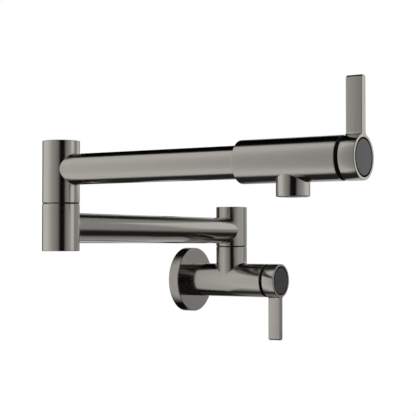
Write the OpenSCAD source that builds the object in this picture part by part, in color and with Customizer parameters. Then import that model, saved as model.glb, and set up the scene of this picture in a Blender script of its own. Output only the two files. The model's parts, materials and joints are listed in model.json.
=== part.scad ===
// Wall-mounted pot filler with two swivelling arms and a quarter-turn valve at each end.
// Row frame: origin where the supply axis meets the wall, +Z up, -Y out of the wall, +X to the right
// of someone who faces the wall. The lower arm lies along the wall and the upper arm stands out from it.

/* [Wall flange] */
// Outer diameter of the wall flange
flange_d = 72; // [68:1:90]
// How far the flange stands out from the wall
flange_depth = 12; // [11:0.5:18]
// Wall thickness of the flange's face and rim
flange_wall = 2.6; // [2:0.1:3.2]
// Rounding of the flange's front edge
flange_edge = 0.8; // [0.3:0.1:1.5]
// Thickness of the collar that grips the valve body behind the flange's face
collar_wall = 3; // [2.6:0.1:4]
// Length of that collar
collar_len = 6; // [4:0.5:7]
// Radial width of the foam gasket inside the rim
gasket_w = 4; // [2:0.5:5]
// Thickness of the foam gasket
gasket_t = 2; // [1:0.5:3]

/* [Valve bodies] */
// Outer diameter of both valve bodies and both handle hubs
body_d = 36.8; // [36:0.2:40]
// Distance from the wall to the axis of the riser
riser_offset = 60.9; // [58:1:80]
// Distance from a valve's branch axis to the front face of its handle
branch_to_face = 63.5; // [62:0.5:72]
// Bore of the supply thread, a G 1/2 tapping drill
inlet_bore_d = 18.6; // [16:0.1:20]
// Depth of the supply thread
inlet_depth = 15; // [12:1:18]
// Bore of the waterways in the bodies, barrels and branches
waterway_d = 18; // [14:0.5:18]
// Distance from a valve's branch axis back to its seat
seat_to_branch = 18.3; // [17.5:0.1:20]
// Thickness of the web that carries the seat
seat_web = 3; // [2:0.5:5]
// Bore of the seat
seat_bore_d = 11; // [8:0.5:12]
// Radial width of the shoulder under the cartridge flange
shoulder_w = 3; // [2.5:0.1:3.5]
// Distance from a valve's branch axis forward to the shoulder under the cartridge flange
shoulder_to_branch = 20; // [18.5:0.5:22]
// Wall thickness of the bodies in front of that shoulder
body_wall = 3.4; // [2.9:0.1:4.4]
// Distance from the spout axis back to the rear end of the spout valve body
spout_body_rear = 46.5; // [42:0.5:60]
// Depth to which the upper arm tube is brazed into the spout valve body
socket_depth = 12; // [8:0.5:16]
// Rounding of the spout valve body's rear edge
body_rear_edge = 1.2; // [0.4:0.1:1.8]

/* [Swivel columns] */
// Outer diameter of the riser and of the elbow
column_d = 34.4; // [33:0.2:36]
// Height of the riser's swivel seam above the supply axis
riser_seam_h = 37.5; // [35:0.5:39]
// Distance from an arm's axis to the top of its barrel
barrel_head = 26.5; // [25.5:0.5:32]
// Clear height of a swivel seam
seam_gap = 0.6; // [0.4:0.1:1]
// Chamfer on both edges of a swivel seam
seam_chamfer = 0.4; // [0.2:0.1:1]
// Diameter to which the arm tubes' ends are coped and seated in the barrels
cope_d = 31; // [30:0.2:32]
// Rounding of the columns' free edges
column_edge = 0.5; // [0.2:0.1:1]
// Diameter of the spigots on which the arms turn
spigot_d = 20; // [18:0.2:21]
// Bore of the spigots
spigot_bore_d = 12; // [9:0.5:13]
// Length of the threaded root of each spigot
spigot_root_len = 13; // [11:0.5:14]
// Extra radius of the threaded root
spigot_root_step = 0.5; // [0.2:0.1:0.8]
// Diameter of the cross holes that let the water into an arm
port_d = 9; // [6:0.5:11]
// Half height of the annular water chamber in a barrel
barrel_chamber_half = 9.5; // [8:0.5:10.5]
// Radial depth of that water chamber outside the spigot
barrel_chamber_depth = 2.8; // [2:0.1:3.4]
// Height of the upper bearing land in a barrel
bearing_land = 7.8; // [6:0.1:9]
// Diameter of the caps that close the barrels
cap_d = 26; // [25:0.2:27]
// Thickness of those caps
cap_t = 3; // [2:0.5:4]
// Thickness of the sealed plug under the elbow
plug_t = 5.4; // [5:0.2:8]

/* [Arms] */
// Outer diameter of the arm tubes
arm_d = 28.2; // [26:0.2:30]
// Wall thickness of the arm tubes
arm_wall = 2.5; // [1.5:0.1:3.5]
// Height of the lower arm's axis above the riser's seam
lower_arm_rise = 17.6; // [17.2:0.2:26]
// Distance between the riser's axis and the elbow's axis
lower_arm_reach = 297.4; // [200:1:420]
// Distance from the lower arm's axis to the bottom of the elbow
elbow_drop = 21.4; // [20:0.2:30]
// Height of the elbow's seam above the lower arm's axis
elbow_seam_rise = 22.3; // [21:0.1:30]
// Height of the upper arm's axis above the elbow's seam
upper_arm_rise = 31; // [26:0.5:45]
// Distance from the elbow's axis to the spout's axis
upper_arm_reach = 243.1; // [160:1:380]

/* [Spout] */
// Outer diameter of the spout outlet
spout_d = 28; // [27.4:0.2:30]
// Distance from the upper arm's axis down to the outlet's rim
spout_drop = 30; // [29:0.5:40]
// Rounding of the outlet's rim
spout_edge = 0.5; // [0.2:0.1:1]
// Depth to which the outlet is seated in the valve body's wall
spout_seat_depth = 1.5; // [1:0.1:2]
// Outer diameter of the aerator's thread, M24
aerator_d = 24; // [22:0.1:24.4]
// Height of the aerator housing
aerator_h = 7; // [6:0.5:7.5]
// How far the aerator is set back from the outlet's rim
aerator_setback = 0.8; // [0.4:0.1:1.2]
// Wall thickness of the aerator housing
aerator_wall = 1.6; // [1.2:0.1:2]
// Thickness of the aerator's honeycomb
honeycomb_t = 2; // [1:0.5:3]
// Width across the flats of a honeycomb cell
cell_w = 2; // [1.6:0.1:2.4]
// Thickness of the ribs between the cells
cell_rib = 0.7; // [0.5:0.1:1]
// Thickness of the aerator's rubber washer
aerator_washer_t = 1.4; // [1:0.1:1.5]

/* [Handles] */
// Length of a handle hub, and width of its lever
hub_len = 14.2; // [13.6:0.2:18]
// Length of the black spacer ring behind the hub
ring_len = 3.4; // [2:0.1:5]
// How far the spacer ring is set in from the body's surface
ring_recess = 0.5; // [0.2:0.1:1]
// Running gap between the spacer ring and the hub
hub_gap = 0.3; // [0.2:0.1:0.6]
// Distance from the hub's axis to the tip of the lever
lever_reach = 65; // [50:1:90]
// Thickness of the lever
lever_t = 6.4; // [5:0.2:9]
// Rounding of the hub's rims
hub_edge = 0.6; // [0.3:0.1:1]
// Chamfer on the lever's long edges
lever_edge = 0.5; // [0.2:0.1:1]
// Rounding of the lever's tip corners
lever_tip_round = 2; // [0.5:0.1:2.4]
// Fillet between the lever and the hub
lever_fillet = 3; // [1:0.5:6]
// Width of the bright rim round the insert
rim_w = 2.5; // [1.5:0.1:3.5]
// Depth of the insert's recess
recess_depth = 1.9; // [1.6:0.1:2.4]
// Thickness of the insert
insert_t = 1.5; // [1:0.1:1.6]
// Gap round the insert
insert_gap = 0.25; // [0.1:0.05:0.4]
// Wall thickness of the hub
hub_wall = 3.4; // [2:0.2:4]
// Thickness of the web in the hub
hub_web = 4.2; // [3.4:0.1:5]
// Diameter of the hub's boss round the stem
boss_d = 15; // [13:0.5:16]
// Length of the boss behind the web
boss_len = 12; // [10:0.5:14]

/* [Cartridges] */
// Radial width of the water space round the cartridge barrel
water_space = 2.7; // [2.5:0.1:3]
// Wall thickness of the cartridge barrel
housing_wall = 0.9; // [0.9:0.1:1.3]
// Thickness of a ceramic disc
disc_t = 3; // [2.4:0.1:3.2]
// Thickness of the rubber seat seal
seat_seal_t = 2; // [1.6:0.1:2.4]
// How far the seat seal stands proud of the cartridge barrel
seat_seal_proud = 0.5; // [0.3:0.1:0.8]
// Thickness of the stem's driver bar
driver_t = 3; // [2:0.5:3.5]
// Width of the driver bar
driver_w = 4; // [3:0.1:4]
// Height of the driver's tongue in the moving disc
tongue_h = 1; // [0.5:0.1:1.4]
// Inner radius of the water openings in the discs
opening_r_in = 2.8; // [2.8:0.1:3.4]
// Width of the discs' sealing rim outside those openings
disc_rim = 2.2; // [2:0.1:3.4]
// Angle over which each water opening reaches
opening_angle = 76; // [50:1:80]
// Play between the driver bar and its end stops, in degrees
stop_play = 1; // [0.5:0.5:3]
// Radial height of the end stops in the cartridge housing
stop_h = 1.8; // [1:0.1:2.2]
// Height of the cartridge's side windows
window_h = 8; // [6:0.5:8.5]
// Width of the cartridge's side windows
window_w = 10; // [7:0.5:11]
// Length of the cartridge's sealing land under its flange
seal_land = 7; // [6:0.5:8]
// Thickness of the cartridge flange
cartridge_flange_t = 4; // [3:0.5:4.5]
// Thickness of the bonnet nut
nut_t = 7; // [5:0.5:7.5]
// Outer diameter of the cartridge's neck
neck_d = 15.2; // [14:0.2:16]
// Length of the neck above the cartridge flange
neck_len = 8.4; // [8:0.2:9]
// Diameter of the stem in the cartridge
stem_d = 10; // [9:0.2:10.4]
// Diameter of the stem's splined end
spline_d = 8; // [7:0.2:8.4]
// Depth of the splines
spline_depth = 0.6; // [0.3:0.1:0.8]
// Number of splines on the stem
spline_count = 20; // [12:1:24]
// Diameter of the handle screw
screw_d = 4; // [3:0.5:5]
// Head diameter of the handle screw
screw_head_d = 7.2; // [6:0.2:8]
// Head height of the handle screw
screw_head_h = 2.6; // [2:0.1:2.8]
// Length of the handle screw's shank
screw_len = 14; // [12:0.5:15]

/* [Fits and seals] */
// Radial clearance of running fits
running_fit = 0.06; // [0.03:0.01:0.08]
// Radial clearance of threads and pressed caps
thread_fit = 0.05; // [0.02:0.01:0.1]
// Clearance between flat faces that slide on each other
face_fit = 0.05; // [0.03:0.01:0.1]
// Cord diameter of the O-rings
o_ring_cord = 1.6; // [1.2:0.1:1.8]
// Height of the grooves for O-rings
o_ring_groove = 2.2; // [2:0.1:2.6]
// Thickness of the retaining rings
retainer_t = 1.1; // [0.8:0.1:1.2]
// Depth of the retaining rings' groove in the spigot
retainer_bite = 0.8; // [0.5:0.1:1.2]
// Radial width of the retaining rings
retainer_w = 3; // [2:0.1:3.2]
// Gap in a retaining ring
retainer_gap = 5; // [3:0.5:8]

/* [Hidden] */
$fn = 96;

// Colours of the finishes
gunmetal = [0.42, 0.41, 0.39];
anthracite = [0.13, 0.13, 0.14];
black = [0.03, 0.03, 0.03];
rubber_black = [0.06, 0.06, 0.06];
brass = [0.72, 0.58, 0.32];
ceramic_white = [0.93, 0.92, 0.9];
stainless = [0.72, 0.72, 0.71];
nylon_white = [0.9, 0.9, 0.86];

// One overrun for all cuts
overrun = 1;

// Radii of the outer forms
body_r = body_d / 2;
column_r = column_d / 2;
arm_r = arm_d / 2;

// Heights of the seams and arms above the supply axis
lower_arm_z = riser_seam_h + lower_arm_rise;
elbow_bottom_z = lower_arm_z - elbow_drop;
elbow_seam_z = lower_arm_z + elbow_seam_rise;
upper_arm_z = elbow_seam_z + upper_arm_rise;

// Places along a valve's axis, from its branch axis towards its handle
hub_back = branch_to_face - hub_len;
body_front = hub_back - ring_len;
seat_z = -seat_to_branch;
housing_z = seat_z + seat_seal_proud;
fixed_disc_z = seat_z + seat_seal_t;
moving_disc_z = fixed_disc_z + disc_t + face_fit;
driver_z = moving_disc_z + disc_t + face_fit;
cavity_top = driver_z + driver_t + window_h;
flange_top = shoulder_to_branch + cartridge_flange_t;
neck_top = flange_top + neck_len;
recess_z = branch_to_face - recess_depth;
web_top = recess_z - screw_head_h - hub_gap;
web_bottom = web_top - hub_web;
boss_z = web_bottom - boss_len;
stem_end = web_top - hub_web / 2;

// Sizes that follow the swivels' spigot
spigot_r = spigot_d / 2;
root_r = spigot_r + spigot_root_step;
land_r = spigot_r + running_fit;
barrel_chamber_r = spigot_r + barrel_chamber_depth;
retainer_z = barrel_chamber_half + bearing_land + face_fit;
spigot_top = retainer_z + retainer_t + 2 * retainer_bite;
retainer_r = spigot_r - retainer_bite + retainer_w;
cope_r = cope_d / 2;
cap_r = cap_d / 2;
cap_seat = thread_fit * 10;
half_gap = seam_gap / 2;
riser_root_z = riser_seam_h - half_gap - spigot_root_len;
elbow_root_z = elbow_seam_z - half_gap - spigot_root_len;

// Radii that follow the cartridge and the handle
waterway_r = waterway_d / 2;
nut_bore_r = body_r - body_wall;
chamber_r = nut_bore_r - shoulder_w;
cartridge_r = chamber_r - water_space;
disc_r = cartridge_r - housing_wall;
opening_r_out = disc_r - disc_rim;
cavity_r = disc_r + thread_fit;
stem_r = stem_d / 2;
spline_r = spline_d / 2;
neck_r = neck_d / 2;
spout_cope_r = body_r - spout_seat_depth;
recess_r = body_r - rim_w;
boss_r = boss_d / 2;
land_z = shoulder_to_branch - seal_land / 2;
head_well_r = screw_head_d / 2 + hub_gap;
lug_r = disc_r - stop_h;
lug_angle = 90 - 2 * asin(driver_w / 2 / lug_r) - stop_play;

// Points of an arc round centre c, from angle a0 to angle a1
function arc(c, r, a0, a1, steps = 4) =
    [for (i = [0:steps]) let (a = a0 + (a1 - a0) * i / steps) c + r * [cos(a), sin(a)]];

// Radius of the groove's floor under an O-ring that seals against a bore
function groove_floor(bore_r) = bore_r - o_ring_cord;

// Plain bar or bore from z0 to z1
module rod(r, z0, z1) {
    translate([0, 0, z0]) cylinder(r = r, h = z1 - z0);
}

// Round bar from z0 to z1 with rounded end edges
module rounded_rod(r, z0, z1, edge0, edge1) {
    rotate_extrude()
        polygon(concat([[0, z0]], arc([r - edge0, z0 + edge0], edge0, -90, 0),
            arc([r - edge1, z1 - edge1], edge1, 0, 90), [[0, z1]]));
}

// Ring from z0 to z1
module ring(r_out, r_in, z0, z1) {
    difference() {
        rod(r_out, z0, z1);
        rod(r_in, z0 - overrun, z1 + overrun);
    }
}

// Bow-tie of two ring sectors on the X axis, each reaching over angle, from z0 to z1
module bow_tie(r_in, r_out, angle, z0, z1) {
    for (turn = [0, 180])
        translate([0, 0, z0]) rotate([0, 0, turn]) linear_extrude(height = z1 - z0)
            polygon(concat(arc([0, 0], r_out, -angle / 2, angle / 2, 12),
                arc([0, 0], r_in, angle / 2, -angle / 2, 12)));
}

// O-ring between a groove's floor and the bore that it seals
module o_ring(bore_r, z) {
    translate([0, 0, z]) rotate_extrude()
        translate([bore_r - o_ring_cord / 2, 0]) circle(r = o_ring_cord / 2 - thread_fit);
}

// Groove for that O-ring in the outside of a rod of radius r
module o_ring_seat(bore_r, r, z) {
    ring(r + overrun, groove_floor(bore_r), z - o_ring_groove / 2, z + o_ring_groove / 2);
}

// Frames of the parts. A valve's own axis is +Z towards its handle, its lever +Y and its branch -Y.
module at_wall_valve() {
    translate([0, -riser_offset, 0]) rotate([90, 0, 0]) rotate([0, 0, 180]) children();
}

module at_spout_valve() {
    translate([-lower_arm_reach, -riser_offset - upper_arm_reach, upper_arm_z])
        rotate([90, 0, 0]) children();
}

// A valve's branch, with +Z out of it
module along_branch() {
    rotate([90, 0, 0]) children();
}

module at_riser() {
    translate([0, -riser_offset, 0]) children();
}

module at_elbow() {
    translate([-lower_arm_reach, -riser_offset, 0]) children();
}

// The flange's axis is +Z out of the wall
module at_flange() {
    rotate([90, 0, 0]) children();
}

// Wall flange: a cup with a collar that slides over the valve body
collar_back = flange_depth - flange_wall - collar_len;
flange_seal_z = collar_back + collar_len / 2;
flange_groove_r = body_r + o_ring_cord;
module wall_flange() {
    color(gunmetal) at_flange() difference() {
        rounded_rod(flange_d / 2, 0, flange_depth, flange_edge / 2, flange_edge);
        difference() {
            rod(flange_d / 2 - flange_wall, -overrun, flange_depth - flange_wall);
            rod(body_r + collar_wall, collar_back, flange_depth);
        }
        rod(body_r + thread_fit, -overrun, flange_depth + overrun);
        rod(flange_groove_r, flange_seal_z - o_ring_groove / 2, flange_seal_z + o_ring_groove / 2);
    }
}

module flange_gasket() {
    gasket_r = flange_d / 2 - flange_wall - thread_fit;
    color(rubber_black) at_flange() ring(gasket_r, gasket_r - gasket_w, 0, gasket_t);
}

module flange_o_ring() {
    color(rubber_black) at_flange() o_ring(flange_groove_r, flange_seal_z);
}

// Bores that both valve bodies share: seat, cartridge chamber, nut bore and branch
module valve_bores() {
    rod(seat_bore_d / 2, -seat_to_branch - seat_web - overrun, -seat_to_branch + overrun);
    rod(chamber_r, -seat_to_branch, body_front);
    rod(nut_bore_r, shoulder_to_branch, body_front + overrun);
    along_branch() rod(waterway_r, 0, body_r + overrun);
}

// Column from its free end to a swivel seam: rounded at the free end, chamfered at the seam
module column(z_end, z_seam) {
    up = sign(z_seam - z_end);
    z_rim = z_seam - up * half_gap;
    rotate_extrude()
        polygon(concat([[0, z_end]],
            arc([column_r - column_edge, z_end + up * column_edge], column_edge, -90 * up, 0),
            [[column_r, z_rim - up * seam_chamfer], [column_r - seam_chamfer, z_rim], [0, z_rim]]));
}

// Lower valve body with the stub that carries the riser
module wall_valve_body() {
    color(gunmetal) at_wall_valve() difference() {
        union() {
            rounded_rod(body_r, -riser_offset, body_front, column_edge, column_edge);
            along_branch() column(0, riser_seam_h);
        }
        rod(inlet_bore_d / 2, -riser_offset - overrun, -riser_offset + inlet_depth);
        rod(waterway_r, -riser_offset, -seat_to_branch - seat_web);
        valve_bores();
        along_branch() {
            rod(waterway_r, 0, riser_seam_h);
            rod(root_r, riser_root_z, riser_seam_h);
        }
    }
}

// Hollow pin with a threaded root, two O-ring grooves and cross holes at its arm's height
module spigot(root_z, seam_z, port_z) {
    color(brass) difference() {
        union() {
            rod(root_r - thread_fit, root_z, seam_z - half_gap);
            rod(spigot_r, seam_z - half_gap, port_z + spigot_top);
        }
        rod(spigot_bore_d / 2, root_z - overrun, port_z + port_d);
        for (turn = [0, 90])
            rotate([90, 0, turn]) rod(port_d / 2, -spigot_d, spigot_d);
        for (z = spigot_seals(seam_z, port_z))
            o_ring_seat(land_r, spigot_r, z);
        translate([0, 0, port_z]) ring(spigot_d, spigot_r - retainer_bite, retainer_z - face_fit,
            retainer_z + retainer_t + face_fit);
    }
}

// Heights of a spigot's two O-rings
function spigot_seals(seam_z, port_z) =
    [seam_z + half_gap + 2 * o_ring_groove, port_z + barrel_chamber_half + bearing_land / 2];

module spigot_o_rings(seam_z, port_z) {
    color(rubber_black) for (z = spigot_seals(seam_z, port_z))
        o_ring(land_r, z);
}

// Plastic washer in a swivel seam, on which the upper barrel turns
module thrust_washer(seam_z) {
    color(black) ring(column_r - 2 * seam_chamfer, land_r, seam_z - half_gap,
        seam_z + half_gap - face_fit);
}

// Open ring in the spigot's groove, over the upper bearing land
module retaining_ring(port_z) {
    z = port_z + retainer_z;
    color(stainless) difference() {
        ring(retainer_r, spigot_r - retainer_bite + thread_fit, z, z + retainer_t);
        translate([spigot_r, 0, z]) cube([2 * retainer_w, retainer_gap, 4 * retainer_t], center = true);
    }
}

// Barrel that turns on a spigot, from its seam to its capped top
module swivel_barrel(seam_z, port_z) {
    top = port_z + barrel_head;
    difference() {
        column(top, seam_z);
        rod(land_r, seam_z, top);
        rod(barrel_chamber_r, port_z - barrel_chamber_half, port_z + barrel_chamber_half);
        rod(cap_r - cap_seat, port_z + barrel_chamber_half + bearing_land, top);
        rod(cap_r, top - cap_t, top + overrun);
    }
}

module barrel_cap(port_z) {
    top = port_z + barrel_head;
    color(gunmetal) rounded_rod(cap_r - thread_fit, top - cap_t, top, column_edge, column_edge);
}

// Pocket and waterway for an arm tube that leaves a column along +X at height z
module arm_pocket(z) {
    translate([0, 0, z]) rotate([0, 90, 0]) rod(waterway_r, 0, column_d);
    difference() {
        translate([0, 0, z]) rotate([0, 90, 0]) rod(arm_r + thread_fit, 0, column_d);
        rod(cope_r, z - arm_d, z + arm_d);
    }
}

// Arm tube along +X at height z, open at both ends
module arm_tube(x0, x1, z) {
    translate([0, 0, z]) rotate([0, 90, 0]) ring(arm_r, arm_r - arm_wall, x0, x1);
}

// End of an arm tube, coped to fit its seat in a column
module cope(z) {
    rod(cope_r + thread_fit, z - arm_d, z + arm_d);
}

module riser_barrel() {
    color(gunmetal) at_riser() difference() {
        swivel_barrel(riser_seam_h, lower_arm_z);
        rotate([0, 0, 180]) arm_pocket(lower_arm_z);
    }
}

module lower_arm_tube() {
    color(gunmetal) difference() {
        at_elbow() arm_tube(0, lower_arm_reach, lower_arm_z);
        at_elbow() cope(lower_arm_z);
        at_riser() cope(lower_arm_z);
    }
}

module elbow_lower_barrel() {
    color(gunmetal) at_elbow() difference() {
        column(elbow_bottom_z, elbow_seam_z);
        rod(cap_r, elbow_bottom_z - overrun, elbow_bottom_z + plug_t);
        rod(waterway_r, elbow_bottom_z, elbow_seam_z);
        rod(root_r, elbow_root_z, elbow_seam_z);
        arm_pocket(lower_arm_z);
    }
}

module elbow_bottom_plug() {
    color(gunmetal) at_elbow() difference() {
        rounded_rod(cap_r - thread_fit, elbow_bottom_z, elbow_bottom_z + plug_t, column_edge, column_edge);
        o_ring_seat(cap_r, cap_r, elbow_bottom_z + plug_t / 2);
    }
}

module elbow_plug_o_ring() {
    color(rubber_black) at_elbow() o_ring(cap_r, elbow_bottom_z + plug_t / 2);
}

module elbow_upper_barrel() {
    color(gunmetal) at_elbow() difference() {
        swivel_barrel(elbow_seam_z, upper_arm_z);
        rotate([0, 0, -90]) arm_pocket(upper_arm_z);
    }
}

module upper_arm_tube() {
    tube_end = upper_arm_reach - spout_body_rear + socket_depth;
    color(gunmetal) at_elbow() difference() {
        rotate([0, 0, -90]) arm_tube(0, tube_end, upper_arm_z);
        cope(upper_arm_z);
    }
}

module spout_valve_body() {
    color(gunmetal) at_spout_valve() difference() {
        rounded_rod(body_r, -spout_body_rear, body_front, body_rear_edge, column_edge);
        rod(arm_r + thread_fit, -spout_body_rear - overrun, -spout_body_rear + socket_depth);
        rod(waterway_r, -spout_body_rear, -seat_to_branch - seat_web);
        valve_bores();
        difference() {
            along_branch() rod(spout_d / 2 + thread_fit, 0, body_d);
            rod(spout_cope_r, -spout_d, spout_d);
        }
    }
}

// Outlet seated in the valve body's wall, threaded inside for the aerator
washer_top = spout_drop - aerator_setback - aerator_h - aerator_washer_t;
module spout_outlet() {
    color(gunmetal) at_spout_valve() difference() {
        along_branch() rounded_rod(spout_d / 2, 0, spout_drop, spout_edge, spout_edge);
        rod(spout_cope_r + thread_fit, -spout_d, spout_d);
        along_branch() rod(waterway_r, 0, spout_drop);
        along_branch() rod(aerator_d / 2 + thread_fit, washer_top, spout_drop + overrun);
    }
}

// Aerator cup, with a lip under the honeycomb
module aerator_housing() {
    bottom = spout_drop - aerator_setback;
    color(stainless) at_spout_valve() along_branch() difference() {
        ring(aerator_d / 2, aerator_d / 2 - 2 * aerator_wall, bottom - aerator_h, bottom);
        rod(aerator_d / 2 - aerator_wall, bottom - aerator_h - overrun, bottom - aerator_setback);
    }
}

module aerator_honeycomb() {
    bottom = spout_drop - 2 * aerator_setback;
    plate_r = aerator_d / 2 - aerator_wall - thread_fit;
    pitch = cell_w + cell_rib;
    rows = floor(plate_r / (pitch * cos(30)));
    color(nylon_white) at_spout_valve() along_branch() difference() {
        rod(plate_r, bottom - honeycomb_t, bottom);
        for (row = [-rows:rows], place = [-rows:rows]) {
            x = (place + (row % 2 == 0 ? 0 : 1 / 2)) * pitch;
            y = row * pitch * cos(30);
            if (norm([x, y]) + pitch / 2 < plate_r - cell_rib)
                translate([x, y, 0]) rotate([0, 0, 30])
                    translate([0, 0, bottom - honeycomb_t - overrun])
                        cylinder(d = cell_w / cos(30), h = honeycomb_t + 2 * overrun, $fn = 6);
        }
    }
}

module aerator_washer() {
    color(rubber_black) at_spout_valve() along_branch()
        ring(aerator_d / 2, aerator_d / 2 - 2 * aerator_wall, washer_top, washer_top + aerator_washer_t);
}

// Brass housing of a quarter-turn cartridge: windows at its sides, end stops for the driver bar inside
module cartridge_housing() {
    stem_bore_z = cavity_top - overrun;
    color(brass) union() {
        difference() {
            union() {
                rod(cartridge_r, housing_z, flange_top);
                rod(chamber_r - running_fit, shoulder_to_branch - seal_land, flange_top);
                rod(nut_bore_r - running_fit, shoulder_to_branch, flange_top);
                rod(neck_r, flange_top, neck_top);
            }
            o_ring_seat(chamber_r, chamber_r, land_z);
            rod(cavity_r, housing_z - overrun, cavity_top);
            rod(stem_r + running_fit, stem_bore_z, neck_top + overrun);
            rotate([0, 0, -45]) translate([0, 0, (driver_z + cavity_top) / 2])
                cube([4 * cartridge_r, window_w, window_h], center = true);
        }
        rotate([0, 0, 45])
            bow_tie(lug_r, cartridge_r - thread_fit, lug_angle, driver_z, driver_z + driver_t);
    }
}

module housing_o_ring() {
    color(rubber_black) o_ring(chamber_r, land_z);
}

module seat_seal() {
    color(rubber_black) ring(disc_r, opening_r_out + thread_fit, seat_z, fixed_disc_z);
}

module fixed_disc() {
    color(ceramic_white) difference() {
        rod(disc_r, fixed_disc_z, fixed_disc_z + disc_t);
        rotate([0, 0, 90]) bow_tie(opening_r_in, opening_r_out, opening_angle,
            fixed_disc_z - overrun, fixed_disc_z + disc_t + overrun);
    }
}

// Disc that closes the fixed one at rest, with a slot for the driver's tongue
module moving_disc() {
    top = moving_disc_z + disc_t;
    color(ceramic_white) difference() {
        rod(disc_r, moving_disc_z, top);
        bow_tie(opening_r_in, opening_r_out, opening_angle, moving_disc_z - overrun, top + overrun);
        translate([0, 0, top]) cube([driver_w / 2 + 2 * thread_fit, 2 * disc_r, 3 * tongue_h], center = true);
    }
}

// Toothed rod of the splined end
module spline(r, z0, z1) {
    steps = 2 * spline_count;
    translate([0, 0, z0]) linear_extrude(height = z1 - z0)
        polygon([for (i = [0:steps - 1]) (r - (i % 2) * spline_depth) *
            [cos(360 * i / steps), sin(360 * i / steps)]]);
}

// Heights of the stem's two O-rings
stem_seals = [cavity_top + 2 * o_ring_groove, cavity_top + 5 * o_ring_groove];

// Stem with the driver bar that turns the moving disc
module stem() {
    bar_r = disc_r - running_fit;
    color(brass) difference() {
        union() {
            intersection() {
                rod(bar_r, driver_z, driver_z + driver_t);
                translate([0, 0, driver_z]) cube([driver_w, 2 * disc_r, 2 * driver_t], center = true);
            }
            translate([0, 0, driver_z])
                cube([driver_w / 2, 2 * disc_r - driver_w, 2 * tongue_h], center = true);
            rod(stem_r, driver_z + driver_t, neck_top);
            spline(spline_r, neck_top, stem_end);
        }
        for (z = stem_seals)
            o_ring_seat(stem_r + running_fit, stem_r, z);
        rod(screw_d / 2, stem_end - screw_len, stem_end + overrun);
    }
}

module stem_o_rings() {
    color(rubber_black) for (z = stem_seals)
        o_ring(stem_r + running_fit, z);
}

// Nut that clamps the cartridge, with two spanner slots
module bonnet_nut() {
    top = flange_top + nut_t;
    color(brass) difference() {
        ring(nut_bore_r - thread_fit, neck_r + insert_gap, flange_top, top);
        translate([0, 0, top]) cube([2 * nut_bore_r + overrun, driver_w, nut_t], center = true);
    }
}

// Ring between body and hub, with a sleeve that slips into the body
module spacer_ring() {
    sleeve_z = body_front - ring_len;
    color(black) union() {
        ring(body_r - ring_recess, boss_r + cap_seat, body_front, hub_back - hub_gap);
        ring(nut_bore_r - thread_fit, nut_bore_r - ring_len / 2, sleeve_z, body_front);
    }
}

// Outline of the lever, seen along the valve's axis
module lever_outline() {
    half_t = lever_t / 2;
    tip_y = lever_reach - lever_tip_round;
    tip_x = half_t - lever_tip_round;
    polygon(concat([[-half_t, 0]], arc([-tip_x, tip_y], lever_tip_round, 180, 90),
        arc([tip_x, tip_y], lever_tip_round, 90, 0), [[half_t, 0]]));
}

// Fillet between the lever's side and the hub
module lever_root_outline() {
    centre_x = lever_t / 2 + lever_fillet;
    centre_y = sqrt(pow(body_r + lever_fillet, 2) - pow(centre_x, 2));
    polygon(concat([[0, 0], [0, centre_y]],
        arc([centre_x, centre_y], lever_fillet, 180, 180 + atan2(centre_y, centre_x))));
}

// Hub and lever in one casting
module lever_handle() {
    color(gunmetal) difference() {
        union() {
            rounded_rod(body_r, hub_back, branch_to_face, hub_edge, hub_edge);
            intersection() {
                translate([0, 0, hub_back]) linear_extrude(height = hub_len) lever_outline();
                rotate([90, 0, 180]) linear_extrude(height = lever_reach) lever_section();
            }
            translate([0, 0, hub_back + hub_edge]) linear_extrude(height = hub_len - 2 * hub_edge) {
                lever_root_outline();
                mirror([1, 0, 0]) lever_root_outline();
            }
            rod(boss_r, boss_z, hub_back + hub_edge);
        }
        rod(recess_r, recess_z, branch_to_face + overrun);
        rod(head_well_r, web_top, recess_z + overrun);
        ring(body_r - hub_wall, boss_r, hub_back - overrun, web_bottom);
        spline(spline_r + thread_fit, boss_z - overrun, stem_end);
        rod(screw_d / 2 + thread_fit, boss_z, web_top + overrun);
    }
}

// Section across the lever, with its long edges chamfered
module lever_section() {
    x = lever_t / 2;
    polygon([[-x, hub_back + lever_edge], [lever_edge - x, hub_back], [x - lever_edge, hub_back],
        [x, hub_back + lever_edge], [x, branch_to_face - lever_edge], [x - lever_edge, branch_to_face],
        [lever_edge - x, branch_to_face], [-x, branch_to_face - lever_edge]]);
}

module handle_insert() {
    color(anthracite) rounded_rod(recess_r - insert_gap, recess_z, recess_z + insert_t,
        insert_gap, insert_gap);
}

// Socket-head screw that holds the hub on the stem
module handle_screw() {
    head_top = web_top + screw_head_h;
    color(stainless) difference() {
        union() {
            rod(screw_d / 2 - thread_fit, web_top - screw_len, web_top);
            rod(screw_head_d / 2, web_top, head_top);
        }
        translate([0, 0, head_top - screw_head_h / 2])
            cylinder(d = screw_d, h = screw_head_h, $fn = 6);
    }
}

wall_flange();
flange_gasket();
flange_o_ring();
wall_valve_body();
at_riser() spigot(riser_root_z, riser_seam_h, lower_arm_z);  // riser_spigot
at_riser() spigot_o_rings(riser_seam_h, lower_arm_z);  // riser_o_rings
at_riser() thrust_washer(riser_seam_h);  // riser_thrust_washer
at_riser() retaining_ring(lower_arm_z);  // riser_retaining_ring
at_wall_valve() cartridge_housing();  // wall_cartridge_housing
at_wall_valve() housing_o_ring();  // wall_housing_o_ring
at_wall_valve() seat_seal();  // wall_seat_seal
at_wall_valve() fixed_disc();  // wall_fixed_disc
at_wall_valve() bonnet_nut();  // wall_bonnet_nut
at_wall_valve() spacer_ring();  // wall_spacer_ring
at_wall_valve() lever_handle();  // wall_lever_handle
at_wall_valve() handle_insert();  // wall_handle_insert
at_wall_valve() handle_screw();  // wall_handle_screw
at_wall_valve() stem();  // wall_stem
at_wall_valve() stem_o_rings();  // wall_stem_o_rings
at_wall_valve() moving_disc();  // wall_moving_disc
riser_barrel();
at_riser() barrel_cap(lower_arm_z);  // riser_top_cap
lower_arm_tube();
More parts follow.
